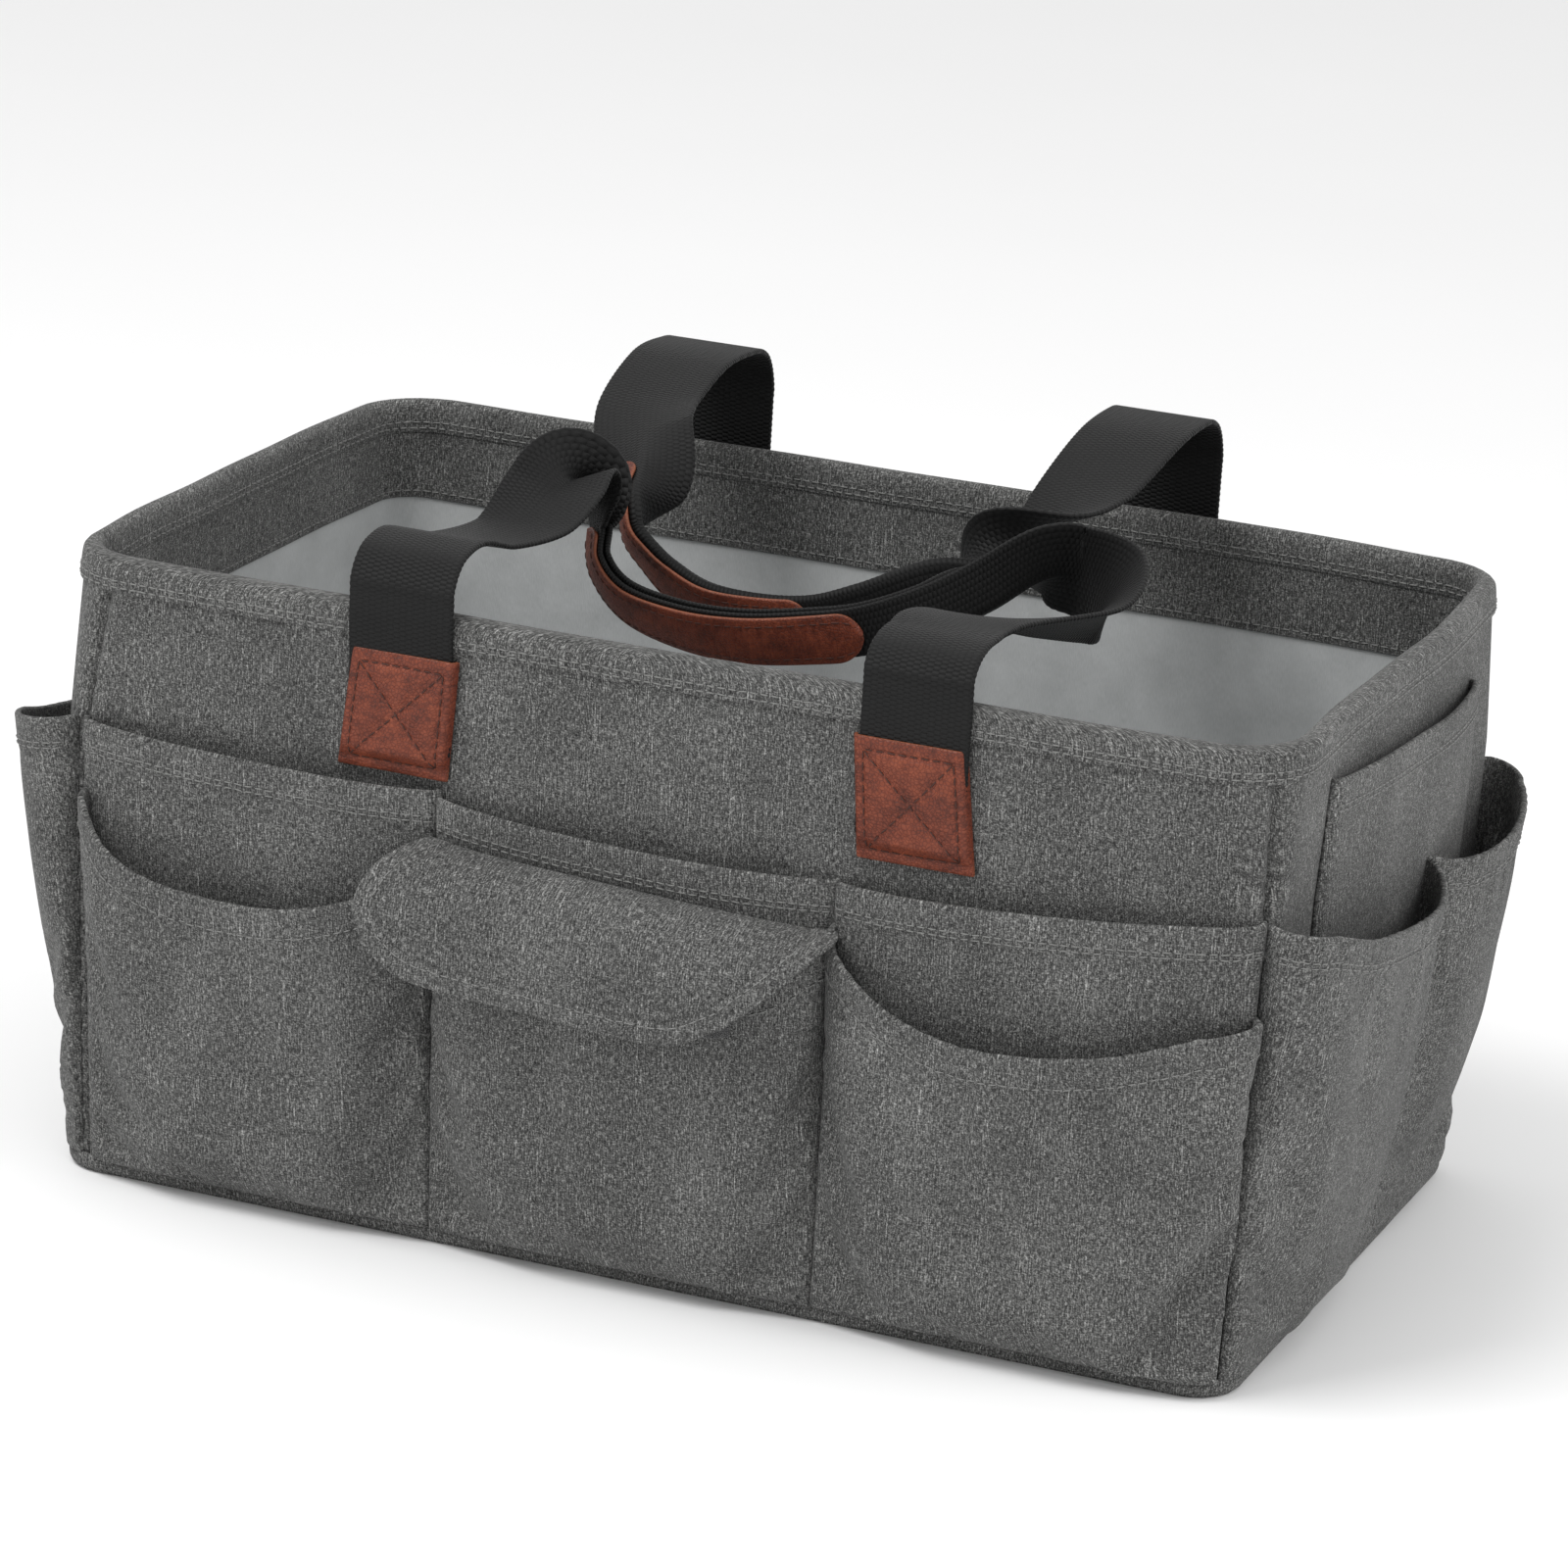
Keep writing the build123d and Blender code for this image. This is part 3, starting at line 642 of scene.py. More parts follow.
def stitching(name, rows, material, radius, seed):
    """Rows of separate stitches. A row is (points, normals) along the line that it follows."""
    rng = np.random.default_rng(seed)
    points, faces, uv = [], [], []
    for line, normal in rows:
        line = np.asarray(line, float)
        joined = np.concatenate([line, np.asarray(normal, float)], 1)
        pitch = STITCH + STITCH_GAP
        count = max(2, int(length_of(line) / pitch))
        fine = evenly(joined, 2 * count + 1)
        for index in range(count):
            first, middle, last = fine[2 * index], fine[2 * index + 1], fine[2 * index + 2]
            along = last[:3] - first[:3]
            size = np.linalg.norm(along)
            if size < 1e-6:
                continue
            along = along / size
            up = middle[3:] / np.linalg.norm(middle[3:])
            side = np.cross(along, up)
            long = size * STITCH / pitch * rng.uniform(0.9, 1.06)
            slant = side * rng.uniform(-0.09, 0.09) * long
            start = len(points)
            for share, thick, rise in STITCH_RINGS:
                centre = middle[:3] + (along * long + slant) * share + up * (
                    radius * (0.4 + rise))
                for corner in range(STITCH_SIDES):
                    angle = 2 * pi * corner / STITCH_SIDES
                    ring = (side * cos(angle) + up * sin(angle)) * radius * max(thick, 0.05)
                    points.append(centre + ring)
                    uv.append((angle * radius, share * long))
            for ring in range(len(STITCH_RINGS) - 1):
                for corner in range(STITCH_SIDES):
                    a = start + ring * STITCH_SIDES + corner
                    b = start + ring * STITCH_SIDES + (corner + 1) % STITCH_SIDES
                    faces.append((a, b, b + STITCH_SIDES, a + STITCH_SIDES))
            faces.append(tuple(start + corner for corner in range(STITCH_SIDES))[::-1])
            top = start + (len(STITCH_RINGS) - 1) * STITCH_SIDES
            faces.append(tuple(top + corner for corner in range(STITCH_SIDES)))
    return add_object(name, np.array(points), faces, np.array(uv), material)


def wall_row(s, z, out):
    """A stitched line round the walls or up one of them, with its outward normals."""
    line = place(s, z, out)
    return line, place(s, z, out + 1) - line


def sample(grid, at, down):
    """Values of a grid between its points."""
    i = np.clip(np.floor(at).astype(int), 0, grid.shape[0] - 2)
    j = np.clip(np.floor(down).astype(int), 0, grid.shape[1] - 2)
    a = (at - i)[:, None]
    b = (down - j)[:, None]
    return ((1 - a) * (1 - b) * grid[i, j] + a * (1 - b) * grid[i + 1, j]
            + (1 - a) * b * grid[i, j + 1] + a * b * grid[i + 1, j + 1])


def finish_piece(made, body, replaced=()):
    """Rides a piece on its body and hides the CAD parts that it stands in for."""
    if body:
        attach(made, body)
    if replaced:
        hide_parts(*replaced)
    return made


def sew(name, rows, seed, radius=POCKET_THREAD, body="bag"):
    """Rows of grey stitches, as one piece."""
    finish_piece(stitching(name, rows, GREY_THREAD, radius, seed), body)


def sew_leather(name, rows, seed, radius, body):
    """Rows of brown stitches, as one piece."""
    finish_piece(stitching(name, rows, BROWN_THREAD, radius, seed), body)


# ---------------------------------------------------------------- walls, lining and base

def walls():
    """Four cloth walls, their boards and linings."""
    top = HEIGHT - 1.6
    for wall, (first, last) in WALL_SPANS.items():
        middle = (first + last) / 2
        half = (last - first) / 2
        fine = half - np.linspace(0, 10, 17)
        across = np.concatenate([-fine, np.linspace(-half + 12, half - 12, int(half / 1.8)),
                                 fine[::-1]])
        heights = np.linspace(0.8, top, 92)
        grid = grid_of(across, heights,
                       lambda a, z: place(middle + a, z, seam_relief(half - np.abs(a), z)))
        cloth = sheet(f"{wall}_cloth", grid, FABRIC, CLOTH, start=(middle, 0.0))
        finish_piece(cloth, "bag", [f"{wall}_panel"])
        2 * half * MM
        board_half = half - (30 if wall in ("front", "back") else 31)
        board_across = np.linspace(-board_half, board_half, 40)
        heights = np.linspace(4.5, HEIGHT - 4, 30)
        grid = grid_of(middle + board_across, heights,
                       lambda s, z: place(s, z, -FABRIC - BOARD / 2))
        board = sheet(f"{wall}_stiffener", grid, BOARD - 0.2, STIFFENER)
        finish_piece(board, "bag", [f"{wall}_board"])
        across = np.linspace(-half, half, int(2 * half / 3.2))
        heights = np.linspace(5.0, HEIGHT - FACING_DEPTH + 4, 56)
        grid = grid_of(middle + across, heights, lining_point)[::-1]
        lining = sheet(f"{wall}_lining_cloth", grid, LINING * 0.7, LINING_CLOTH,
                       start=(middle, 0.0))
        finish_piece(lining, "bag", [f"{wall}_lining"])
        2 * half * MM


def seam_relief(inward, z):
    """How far out a wall's cloth lies near a corner seam, which draws it in and puckers it."""
    sink = 2.6 * np.exp(-(inward / 1.4) ** 2)
    pucker = 0.35 * np.sin(z * 0.74 + 1.3 * np.sin(z * 0.17)) * np.exp(-((inward - 2) / 5) ** 2)
    allowance = 0.6 / (1 + np.exp((inward - 7.0) / 0.5))
    return -FABRIC / 2 - sink + pucker + allowance


def lining_point(s, z):
    """Middle of the lining: a little slack, with soft upright creases."""
    turn = 2 * pi * s / ROUND
    fade = np.clip((z - 5) / 30, 0, 1) * np.clip((HEIGHT - FACING_DEPTH + 2 - z) / 30, 0, 1)
    slack = 0.7 * np.sin(23 * turn + 0.02 * z) + 0.4 * np.sin(41 * turn + 1 - 0.03 * z)
    return place(s, z, -FABRIC - BOARD - 0.6 - fade * (0.9 + slack))


def rim():
    """Cloth facing inside the rim and the folded hem over it, with two rows of stitches."""
    around = np.arange(0, ROUND, 3.0)
    inner = -FABRIC - BOARD - 1.5
    heights = np.linspace(HEIGHT - FACING_DEPTH, HEIGHT - 3, 10)
    grid = grid_of(around, heights, lambda s, z: place(s, z, inner))[::-1]
    facing = sheet("rim_facing_cloth", grid, LINING, CLOTH, loop=True)
    finish_piece(facing, "bag", ["rim_facing"])
    ROUND * MM
    profile = curve_through([
        (0.55, HEIGHT - HEM_DEPTH), (0.75, HEIGHT - 7), (0.75, HEIGHT - 4), (0.3, HEIGHT - 1.3),
        (-1.1, HEIGHT - 0.15), (-2.6, HEIGHT), (-4.2, HEIGHT - 0.7), (-5.2, HEIGHT - 3),
        (-5.4, HEIGHT - 6), (-5.2, HEIGHT - HEM_DEPTH)], 30)
    s, index = np.meshgrid(around, np.arange(len(profile)), indexing="ij")
    grid = place(s, profile[index, 1] - 0.35, profile[index, 0])
    hem = sheet("rim_hem_cloth", grid, 0.9, CLOTH, loop=True, start=(7.0, 3.0))
    finish_piece(hem, "bag", ["rim_hem"])
    ROUND * MM
    whole = np.append(np.arange(0, ROUND, 3.0), ROUND)
    low_row, high_row = HEIGHT - 9.1, HEIGHT - 7.1
    rows = [wall_row(whole, low_row, 1.15), wall_row(whole, high_row, 1.2)]
    for height in (low_row, high_row, HEIGHT - FACING_DEPTH + 2):
        depth = inner - LINING / 2 if height < HEIGHT - 12 else -5.85
        line = place(whole, height, depth)
        rows.append((line, line - place(whole, height, depth + 1)))
    sew("rim_stitches", rows, 3, radius=0.26)


def base():
    """Cloth and lining of the base, and the piped seam round it."""
    around = np.arange(0, ROUND, 4.0)
    shares = np.concatenate([[1, 0.995, 0.985], np.linspace(0.96, 0.02, 26)])

    def plate(height, out, dip=0.0):
        """A flat sheet inside the outline."""
        edge = place(around, height, out)
        grid = edge[:, None, :2] * shares[None, :, None]
        ripple = dip * np.sin(grid[..., 0] / 31) * np.cos(grid[..., 1] / 23)
        heights = height + ripple[..., None]
        return np.concatenate([grid, heights], -1)

    under = plate(FABRIC / 2, -0.2)[::-1]
    cloth = sheet("base_cloth", under, FABRIC, CLOTH, uv=under[..., :2], loop=True)
    finish_piece(cloth, "bag", ["base_panel"])
    LENGTH * MM
    floor = plate(5.0, -FABRIC - BOARD - 1.1, 0.25)
    lining = sheet("base_lining_cloth", floor, LINING * 0.8, LINING_CLOTH, uv=floor[..., :2],
                   loop=True)
    finish_piece(lining, "bag", ["base_lining"])
    (LENGTH - 8) * MM
    heights = np.linspace(1.6, 5.4, 7)
    around = np.arange(0, ROUND, 2.5)
    s, z = np.meshgrid(around, heights, indexing="ij")
    roll = 0.35 * np.sin(s / 5.3) * np.sin(s / 17)
    grid = place(s, z, 0.95 + 0.12 * roll)
    thickness = 1.9 * np.sqrt(np.clip(1 - ((z - 3.5) / 2.3) ** 2, 0.05, 1))
    piping = sheet("base_piping_cloth", grid, thickness, CLOTH, loop=True, start=(4.0, 90.0))
    finish_piece(piping, "bag", ["base_piping"])
    ROUND * MM
    ROUND * 5 * MM * MM
    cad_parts["base_board"].data.materials.clear()
    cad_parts["base_board"].data.materials.append(STIFFENER)


# ---------------------------------------------------------------- pockets

def bulge(share, power):
    """Depth across a pocket, 0 at its seams and 1 in its middle."""
    return np.clip(1 - np.abs(2 * share - 1) ** power, 0, 1) ** (1 / power)


def seam_shares(count, power):
    """Shares across a pocket, closer together where it turns in to its seams."""
    angle = np.linspace(0, pi, count)
    bent = np.sign(-np.cos(angle)) * np.abs(np.cos(angle)) ** (2 / power)
    even = np.linspace(-1, 1, count)
    return (0.5 * bent + 0.5 * even + 1) / 2


def creases(across, z, marks):
    """Depth of pressed or slack lines in the cloth: (across, height, rise, run, width, depth)."""
    total = np.zeros_like(across)
    for at, height, rise, run, width, depth in marks:
        size = hypot(rise, run)
        along = ((across - at) * run + (z - height) * rise) / size
        aside = ((across - at) * rise - (z - height) * run) / size
        bend = aside + 0.012 * along ** 2 * np.sign(run)
        fade = np.clip(along / 6, 0, 1) * np.clip((size - along) / (0.5 * size), 0, 1)
        total = total + depth * fade * np.exp(-(bend / width) ** 2)
    return total


TRIAL_SCALE = 10.0      # the cloth simulation runs at ten times true size, where it is steadier
TRIAL_FRAMES = 36
MOUTH_HOLD = 0.8        # how firmly a pocket's hemmed mouth keeps its line


def trial_object(name, grid):
    """A plain single-layer mesh of a grid of points, at the simulation's scale."""
    columns, rows = grid.shape[:2]
    index = np.arange(columns * rows).reshape(columns, rows)
    quads = np.stack([index[:-1, :-1], index[1:, :-1], index[1:, 1:], index[:-1, 1:]], -1)
    mesh = bpy.data.meshes.new(name)
    mesh.from_pydata((grid.reshape(-1, 3) * MM * TRIAL_SCALE).tolist(), [],
                     quads.reshape(-1, 4).tolist())
    mesh.update()
    made = bpy.data.objects.new(name, mesh)
    bpy.context.scene.collection.objects.link(made)
    return made


def settled(grid, backing, slack):
    """The grid of a pocket after a cloth simulation: it has extra length, and hangs from its seams.

    The seams and the floor are held, and the backing stands behind it.
    """
    if not slack:
        return grid
    picked = [np.unique(np.append(np.arange(0, count, 2), count - 1)) for count in grid.shape[:2]]
    coarse = grid[np.ix_(*picked)]
    wall = trial_object("trial_wall", backing)
    wall.modifiers.new("stop", "COLLISION")
    wall.collision.thickness_outer = 0.008
    wall.collision.cloth_friction = 20
    trial = trial_object("trial_cloth", coarse)
    held = np.full(coarse.shape[:2], 0.0)
    held[:, -5:] = MOUTH_HOLD
    held[[0, -1], :] = 1
    held[:, 0] = 1
    group = trial.vertex_groups.new(name="held")
    for vertex, weight in enumerate(held.ravel()):
        if weight:
            group.add([vertex], float(weight), "REPLACE")
    cloth = trial.modifiers.new("cloth", "CLOTH")
    cloth.settings.quality = 6
    cloth.settings.mass = 0.4
    cloth.settings.tension_stiffness = 30
    cloth.settings.compression_stiffness = 30
    cloth.settings.shear_stiffness = 12
    cloth.settings.bending_stiffness = 9.0
    cloth.settings.air_damping = 4
    cloth.settings.vertex_group_mass = "held"
    cloth.settings.pin_stiffness = 1.0
    cloth.settings.shrink_min = -slack
    cloth.settings.shrink_max = -slack
    cloth.collision_settings.distance_min = 0.008
    cloth.point_cache.frame_start = 1
    cloth.point_cache.frame_end = TRIAL_FRAMES
    scene = bpy.context.scene
    for step in range(1, TRIAL_FRAMES + 1):
        scene.frame_set(step)
    done = trial.evaluated_get(bpy.context.evaluated_depsgraph_get())
    spots = np.zeros(coarse.size, np.float32)
    done.data.vertices.foreach_get("co", spots)
    moved = spots.reshape(coarse.shape) / (MM * TRIAL_SCALE) - coarse
    for spent in (trial, wall):
        bpy.data.objects.remove(spent)
    scene.frame_set(1)
    return grid + stretched(moved, picked, grid.shape[:2])


def stretched(values, picked, shape):
    """Values at some rows and columns, filled in for all of them."""
    across = np.stack([[np.interp(np.arange(shape[0]), picked[0], values[:, row, part])
                        for part in range(3)] for row in range(values.shape[1])])
    return np.stack([[np.interp(np.arange(shape[1]), picked[1], across[:, part, column])
                      for part in range(3)] for column in range(shape[0])]).swapaxes(1, 2)


POCKET_CLOTH = 1.1
POCKET_HEM = 10.0       # depth of the folded mouth
POCKET_FOLD = 0.85      # thickness that the fold adds
SEWN_THICKNESS = 2.0    # the folded cloth, under its stitches


class Pocket:
    """A pocket on a wall: a slack sheet held at both sides and its floor."""

    def __init__(self, wall, left, right, mouth, depth, power=3.2, floor_depth=1.2,
                 base_out=0.0, marks=(), belly=0.0, count=(64, 56), growth=0.62, slack=0.0):
        mouth = curve_through(mouth, 200)
        shares = seam_shares(count[0], power)
        across = left + (right - left) * shares
        top = np.interp(across, mouth[:, 0], mouth[:, 1])
        up = np.linspace(0, 1, count[1])
        t, rise = np.meshgrid(across, up, indexing="ij")
        share = np.meshgrid(shares, up, indexing="ij")[0]
        z = POCKET_FLOOR + (top[:, None] - POCKET_FLOOR) * rise
        full = (z - POCKET_FLOOR) / (mouth[:, 1].max() - POCKET_FLOOR)
        grow = floor_depth + (depth - floor_depth) * np.clip(full, 0, 1) ** growth
        grow = grow + belly * np.sin(pi * np.clip(full, 0, 1)) ** 1.4
        out = base_out + grow * bulge(share, power)
        out = out + creases(t, z, marks) * np.clip(bulge(share, power) * 1.3, 0, 1)
        middle = np.linspace(left, right, 24)
        backing = grid_of(middle, np.linspace(0, HEIGHT, 20),
                          lambda a, h: on_wall(wall, a, h, base_out))
        self.grid = settled(on_wall(wall, t, z, out), backing, slack)

    def lengths(self):
        """Length up the cloth from the floor, in every column."""
        length = np.cumsum(np.linalg.norm(np.diff(self.grid, axis=1), axis=-1), axis=1)
        return np.concatenate([np.zeros((len(self.grid), 1)), length], 1)

    def hem_thickness(self):
        """Thickness of the sheet: the mouth is folded over and sewn down."""
        length = self.lengths()
        below = length[:, -1:] - length
        fold = 1 / (1 + np.exp((below - POCKET_HEM) / 0.35))
        return POCKET_CLOTH + POCKET_FOLD * fold

    def row(self, below, thickness):
        """A stitched row at a distance below the mouth."""
        length = self.lengths()
        wanted = length[:, -1] - below
        normal = normals_of(self.grid)
        surface = self.grid + normal * (thickness / 2)
        line, ups = [], []
        for column in range(1, len(self.grid) - 1):
            for values, found in ((surface, line), (normal, ups)):
                found.append([np.interp(wanted[column], length[column], values[column, :, part])
                              for part in range(3)])
        return np.array(line), np.array(ups)

    def mouth_rows(self):
        """The two stitched rows of a folded mouth."""
        return [self.row(below, SEWN_THICKNESS) for below in (8.6, 6.9)]


def joined(name, parts):
    """One object out of several."""
    bpy.ops.object.select_all(action="DESELECT")
    for part in parts:
        part.select_set(True)
    bpy.context.view_layer.objects.active = parts[0]
    bpy.ops.object.join()
    parts[0].name = name
    return parts[0]


def pocket_sheet(name, pocket, start):
    """The closed sheet of a pocket, with its folded mouth."""
    return sheet(name, pocket.grid, pocket.hem_thickness(), CLOTH, start=start)


def upper_pockets():
    """The strip of three shallow pockets along each long wall."""
    mouths = {
        "front": [
            [(-177, 146.5), (-150, 145), (-120, 144), (-90, 143.2), (-62, 143.6)],
            [(-62, 141.8), (-30, 139.6), (0, 138.4), (30, 137.8), (62, 138.6)],
            [(62, 138.2), (90, 138.6), (120, 140.2), (150, 143), (186, 147)],
        ],
        "back": [
            [(-180, 146.5), (-150, 144.5), (-120, 143.2), (-90, 143), (-62, 143.6)],
            [(-62, 143.2), (-30, 141.2), (0, 140.6), (30, 141.2), (62, 143.2)],
            [(62, 143.6), (90, 143), (120, 143.2), (150, 144.5), (180, 146.5)],
        ],
    }
    for wall, curves in mouths.items():
        parts, rows = [], []
        for index, mouth in enumerate(curves):
            left, right = mouth[0][0], mouth[-1][0]
            pocket = Pocket(wall, left, right, mouth, 7.0, power=2.4, floor_depth=0.6,
                            base_out=0.9, count=(56, 50))
            parts.append(pocket_sheet(f"{wall}_upper_{index}", pocket, start=(left, 0)))
            rows += pocket.mouth_rows()
        band = joined(f"{wall}_upper_pockets", parts)
        finish_piece(band, "bag", [f"{wall}_pocket_band"])
        for x in (-DIVIDER, DIVIDER):
            floor = 122 if wall == "front" else POCKET_FLOOR + 2
            heights = np.linspace(floor, 140.5, 30)
            rows.append(wall_row(WALL_MIDDLE[wall] + x, heights, 1.9))
        sew(f"{wall}_upper_stitches", rows, 11)


DEEP_COUNT = (96, 84)           # columns and rows of a deep pocket's cloth
FRONT_SLACK = 0.022             # share of extra length for the simulation
SIDE_SLACK = 0.014
TALL_HALF = 74
LOWER = {
    "left": (-175.5, -DIVIDER - 0.2,
             [(-176, 126), (-171, 119.5), (-164, 111), (-149, 104.5), (-125, 102), (-103, 103.4),
              (-82, 110), (-62, 122)]),
    "middle": (-DIVIDER + 0.2, DIVIDER - 0.2,
               [(-62, 122), (-48, 112), (-28, 105), (0, 102.5), (28, 104), (48, 109),
                (62, 120)]),
    "right": (DIVIDER + 0.2, 185.5,
              [(62, 126), (68, 118), (84, 107), (104, 101), (125, 101), (148, 105), (166, 111),
               (186, 119)]),
}
LOWER_MARKS = {
    "left": [(-172, 8, 44, 16, 4.5, -1.8), (-150, 6, 30, 22, 5, 1.2), (-70, 8, 52, -10, 4, -1.6),
             (-96, 6, 38, -16, 6, 1.2), (-120, 30, 50, 8, 9, -0.9), (-84, 62, 40, -5, 6, 1.2)],
    "middle": [(-54, 8, 50, 10, 4.5, -1.6), (-30, 6, 34, 18, 6, 1.1), (54, 8, 60, -8, 4, -1.8),
               (30, 6, 36, -16, 6, 1.0), (6, 30, 50, -6, 9, -0.8)],
    "right": [(70, 8, 48, 9, 4.5, -1.6), (94, 6, 34, 20, 6, 1.2), (172, 8, 50, -12, 4.5, -1.9),
              (148, 6, 36, -20, 6, 1.3), (118, 26, 54, 8, 9, -0.9), (164, 50, 40, -6, 5, 1.1)],
}


def lower_pockets():
    """Three deep pockets over the front's upper ones."""
    pockets = {}
    for name, (left, right, mouth) in LOWER.items():
        pocket = Pocket("front", left, right, mouth, 18.5, power=2.8, floor_depth=2.4,
                        base_out=2.0, marks=LOWER_MARKS[name], belly=0.5,
                        count=DEEP_COUNT, growth=0.75, slack=FRONT_SLACK)
        made = pocket_sheet(f"{name}_deep_pocket", pocket, start=(left * 1.7, 40))
        finish_piece(made, "bag", [f"front_{name}_pocket"])
        sew(f"{name}_deep_pocket_stitches", [pocket.row(8.4, SEWN_THICKNESS)], 21)
        pockets[name] = pocket
    return pockets


SIDE_MOUTHS = {
    "front": [(-109.5, 146), (-96, 141.5), (-78, 136), (-60, 132.5), (-43, 129.5), (-20, 126),
              (0, 123.5), (10, 124), (18, 127), (22, 130)],
    "back": [(22.2, 130), (30, 127.5), (45, 126.5), (62, 127), (80, 129), (96, 132), (110, 136)],
}
SIDE_MARKS = {
    "front": [(-98, 8, 60, 10, 5, -2.0), (-70, 6, 46, 24, 7, 1.2), (12, 8, 66, -8, 5, -2.0),
              (-20, 6, 46, -20, 8, 1.2), (-50, 40, 60, 8, 10, -1.3)],
    "back": [(30, 8, 60, 8, 5, -1.6), (98, 8, 60, -10, 5, -1.6), (64, 30, 60, 4, 9, -1.0)],
}
SIDE_STRETCH = {"right": 1.0, "left": 1.06}      # the left wall is wider between its seams
SIDE_SHAPES = {"front": (23.0, 2.6, 1.1), "back": (20.0, 1.9, 1.0)}     # depth, power, growth
TALL_MOUTH = [(-74, 178.5), (-50, 177), (-25, 175.5), (0, 174), (30, 172.5), (74, 172)]


def side_pockets():
    """Deep pockets on the short walls, and the tall flat one behind those on the right wall."""
    for wall, turn in (("right", 1), ("left", -1)):
        for end, curve in SIDE_MOUTHS.items():
            mouth = [(turn * x * SIDE_STRETCH[wall], z) for x, z in curve][::turn]
            lines = [(turn * at, z, rise, turn * run, w, d)
                     for at, z, rise, run, w, d in SIDE_MARKS[end]]
            left, right = mouth[0][0], mouth[-1][0]
            depth, power, growth = SIDE_SHAPES[end]
            pocket = Pocket(wall, left, right, mouth, depth, power=power, floor_depth=2.0,
                            base_out=0.8, marks=lines, count=DEEP_COUNT, growth=growth,
                            slack=SIDE_SLACK)
            made = pocket_sheet(f"{wall}_{end}_deep_pocket", pocket, start=(left * 1.3, 10))
            finish_piece(made, "bag", [f"{wall}_{end}_pocket"])
            sew(f"{wall}_{end}_pocket_stitches", pocket.mouth_rows(), 31)
    tall = Pocket("right", -TALL_HALF, TALL_HALF, TALL_MOUTH, 4.6, power=2.6,
                  floor_depth=0.6, base_out=0.6, count=(60, 60))
    made = pocket_sheet("right_tall_pocket_cloth", tall, start=(300, 0))
    finish_piece(made, "bag", ["right_tall_pocket"])
    sew("right_tall_pocket_stitches", tall.mouth_rows(), 37)


# ---------------------------------------------------------------- flap

# Edge of the flap, laid flat: across, and down from its seam
FLAP_LEFT = [(-62, 0), (-67, 7), (-72.5, 16), (-75.5, 26), (-72, 37)]
FLAP_BOTTOM = [(-72, 37), (-61, 45), (-44, 48.5), (-20, 50), (4, 51), (25, 49.5), (40, 41)]
FLAP_RIGHT = [(64, 0), (66, 5), (64.5, 11), (56, 24), (40, 41)]
# How the flap hangs: out from the wall and height, from its seam to its lower edge
FLAP_FALL = [(9.0, 130.0), (12.2, 129.6), (16.4, 128.4), (21.5, 125.4), (25.2, 120.4),
             (27.0, 113.5), (27.8, 105), (28.0, 95), (27.6, 80)]


def flap():
    """The flap over the middle pocket: two plies with a turned border, sewn all round."""
    fall = curve_through(FLAP_FALL, 200)
    down = lengths_along(fall)
    columns, rows = 150, 74
    top = np.stack([np.linspace(-62, 64, columns), np.zeros(columns)], -1)
    left = curve_through(FLAP_LEFT, rows)
    bottom = curve_through(FLAP_BOTTOM, columns)
    right = curve_through(FLAP_RIGHT, rows)
    a = np.linspace(0, 1, columns)[:, None, None]
    b = np.linspace(0, 1, rows)[None, :, None]
    flat = ((1 - b) * top[:, None] + b * bottom[:, None] + (1 - a) * left[None] + a * right[None]
            - (1 - a) * (1 - b) * top[0] - a * (1 - b) * top[-1]
            - (1 - a) * b * left[-1] - a * b * right[-1])
    border = np.concatenate([left[:-1], bottom[:-1], right[::-1]])
    from_edge = np.min(np.linalg.norm(flat[:, :, None] - border[None, None], axis=-1), axis=-1)

    def hang(x, d):
        """Where a point of the flat flap hangs."""
        out = np.interp(d, down, fall[:, 0])
        z = np.interp(d, down, fall[:, 1])
        hem = np.clip(d / 48, 0, 1)
        ends = np.abs(x / 66) ** 4 * (1 - np.clip(d / 12, 0, 1))
        out = out - 4.0 * np.clip(ends, 0, 1)
        out = out + 2.6 * np.exp(-((x + 74) / 16) ** 2) * hem
        out = out + 0.9 * np.sin(x / 17 + 0.6) * hem ** 2
        out = out - 1.6 * np.exp(-((x - 66) / 14) ** 2) * hem
        z = z - 6.5 * np.clip((x + 62) / 128, 0, 1) * (1 - 0.75 * hem)
        z = z + 0.9 * np.sin(x / 23 + 2) * hem
        return on_wall("front", x, z, out)

    grid = hang(flat[..., 0], flat[..., 1])
    normal = normals_of(grid)
    if normal[columns // 2, rows - 5, 1] > 0:
        grid, flat, from_edge = grid[::-1], flat[::-1], from_edge[::-1]
        normal = normals_of(grid)
    raised = 0.4 / (1 + np.exp((from_edge - 6.2) / 0.25)) - 0.55 * np.exp(
        -((from_edge - 6.9) / 0.6) ** 2) * (flat[..., 1] > 1)
    face = grid + normal * (0.45 + raised)[..., None]
    face_cloth = sheet("flap_face_cloth", face, 0.9, CLOTH, uv=flat)
    back = grid - normal * 0.45
    facing_cloth = sheet("flap_facing_cloth", back[3:-3, :-3], 0.8, CLOTH, uv=flat[3:-3, :-3])
    for made, node in ((face_cloth, "flap_face"), (facing_cloth, "flap_facing")):
        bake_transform(made)
        finish_piece(made, None, [node])
    inner_line = curve_through(inset(border, 5.0), 260)
    line = hang(inner_line[:, 0], inner_line[:, 1])
    ahead = face_normals(face, flat, inner_line)
    sew("flap_stitches", [(line + ahead * 1.25, ahead)], 41, body="flap")
    return hang


def inset(line, distance):
    """A line moved sideways, to the right of the way that it runs."""
    along = np.gradient(line, axis=0)
    along = along / np.linalg.norm(along, axis=1, keepdims=True)
    return line + distance * np.stack([along[:, 1], -along[:, 0]], -1)


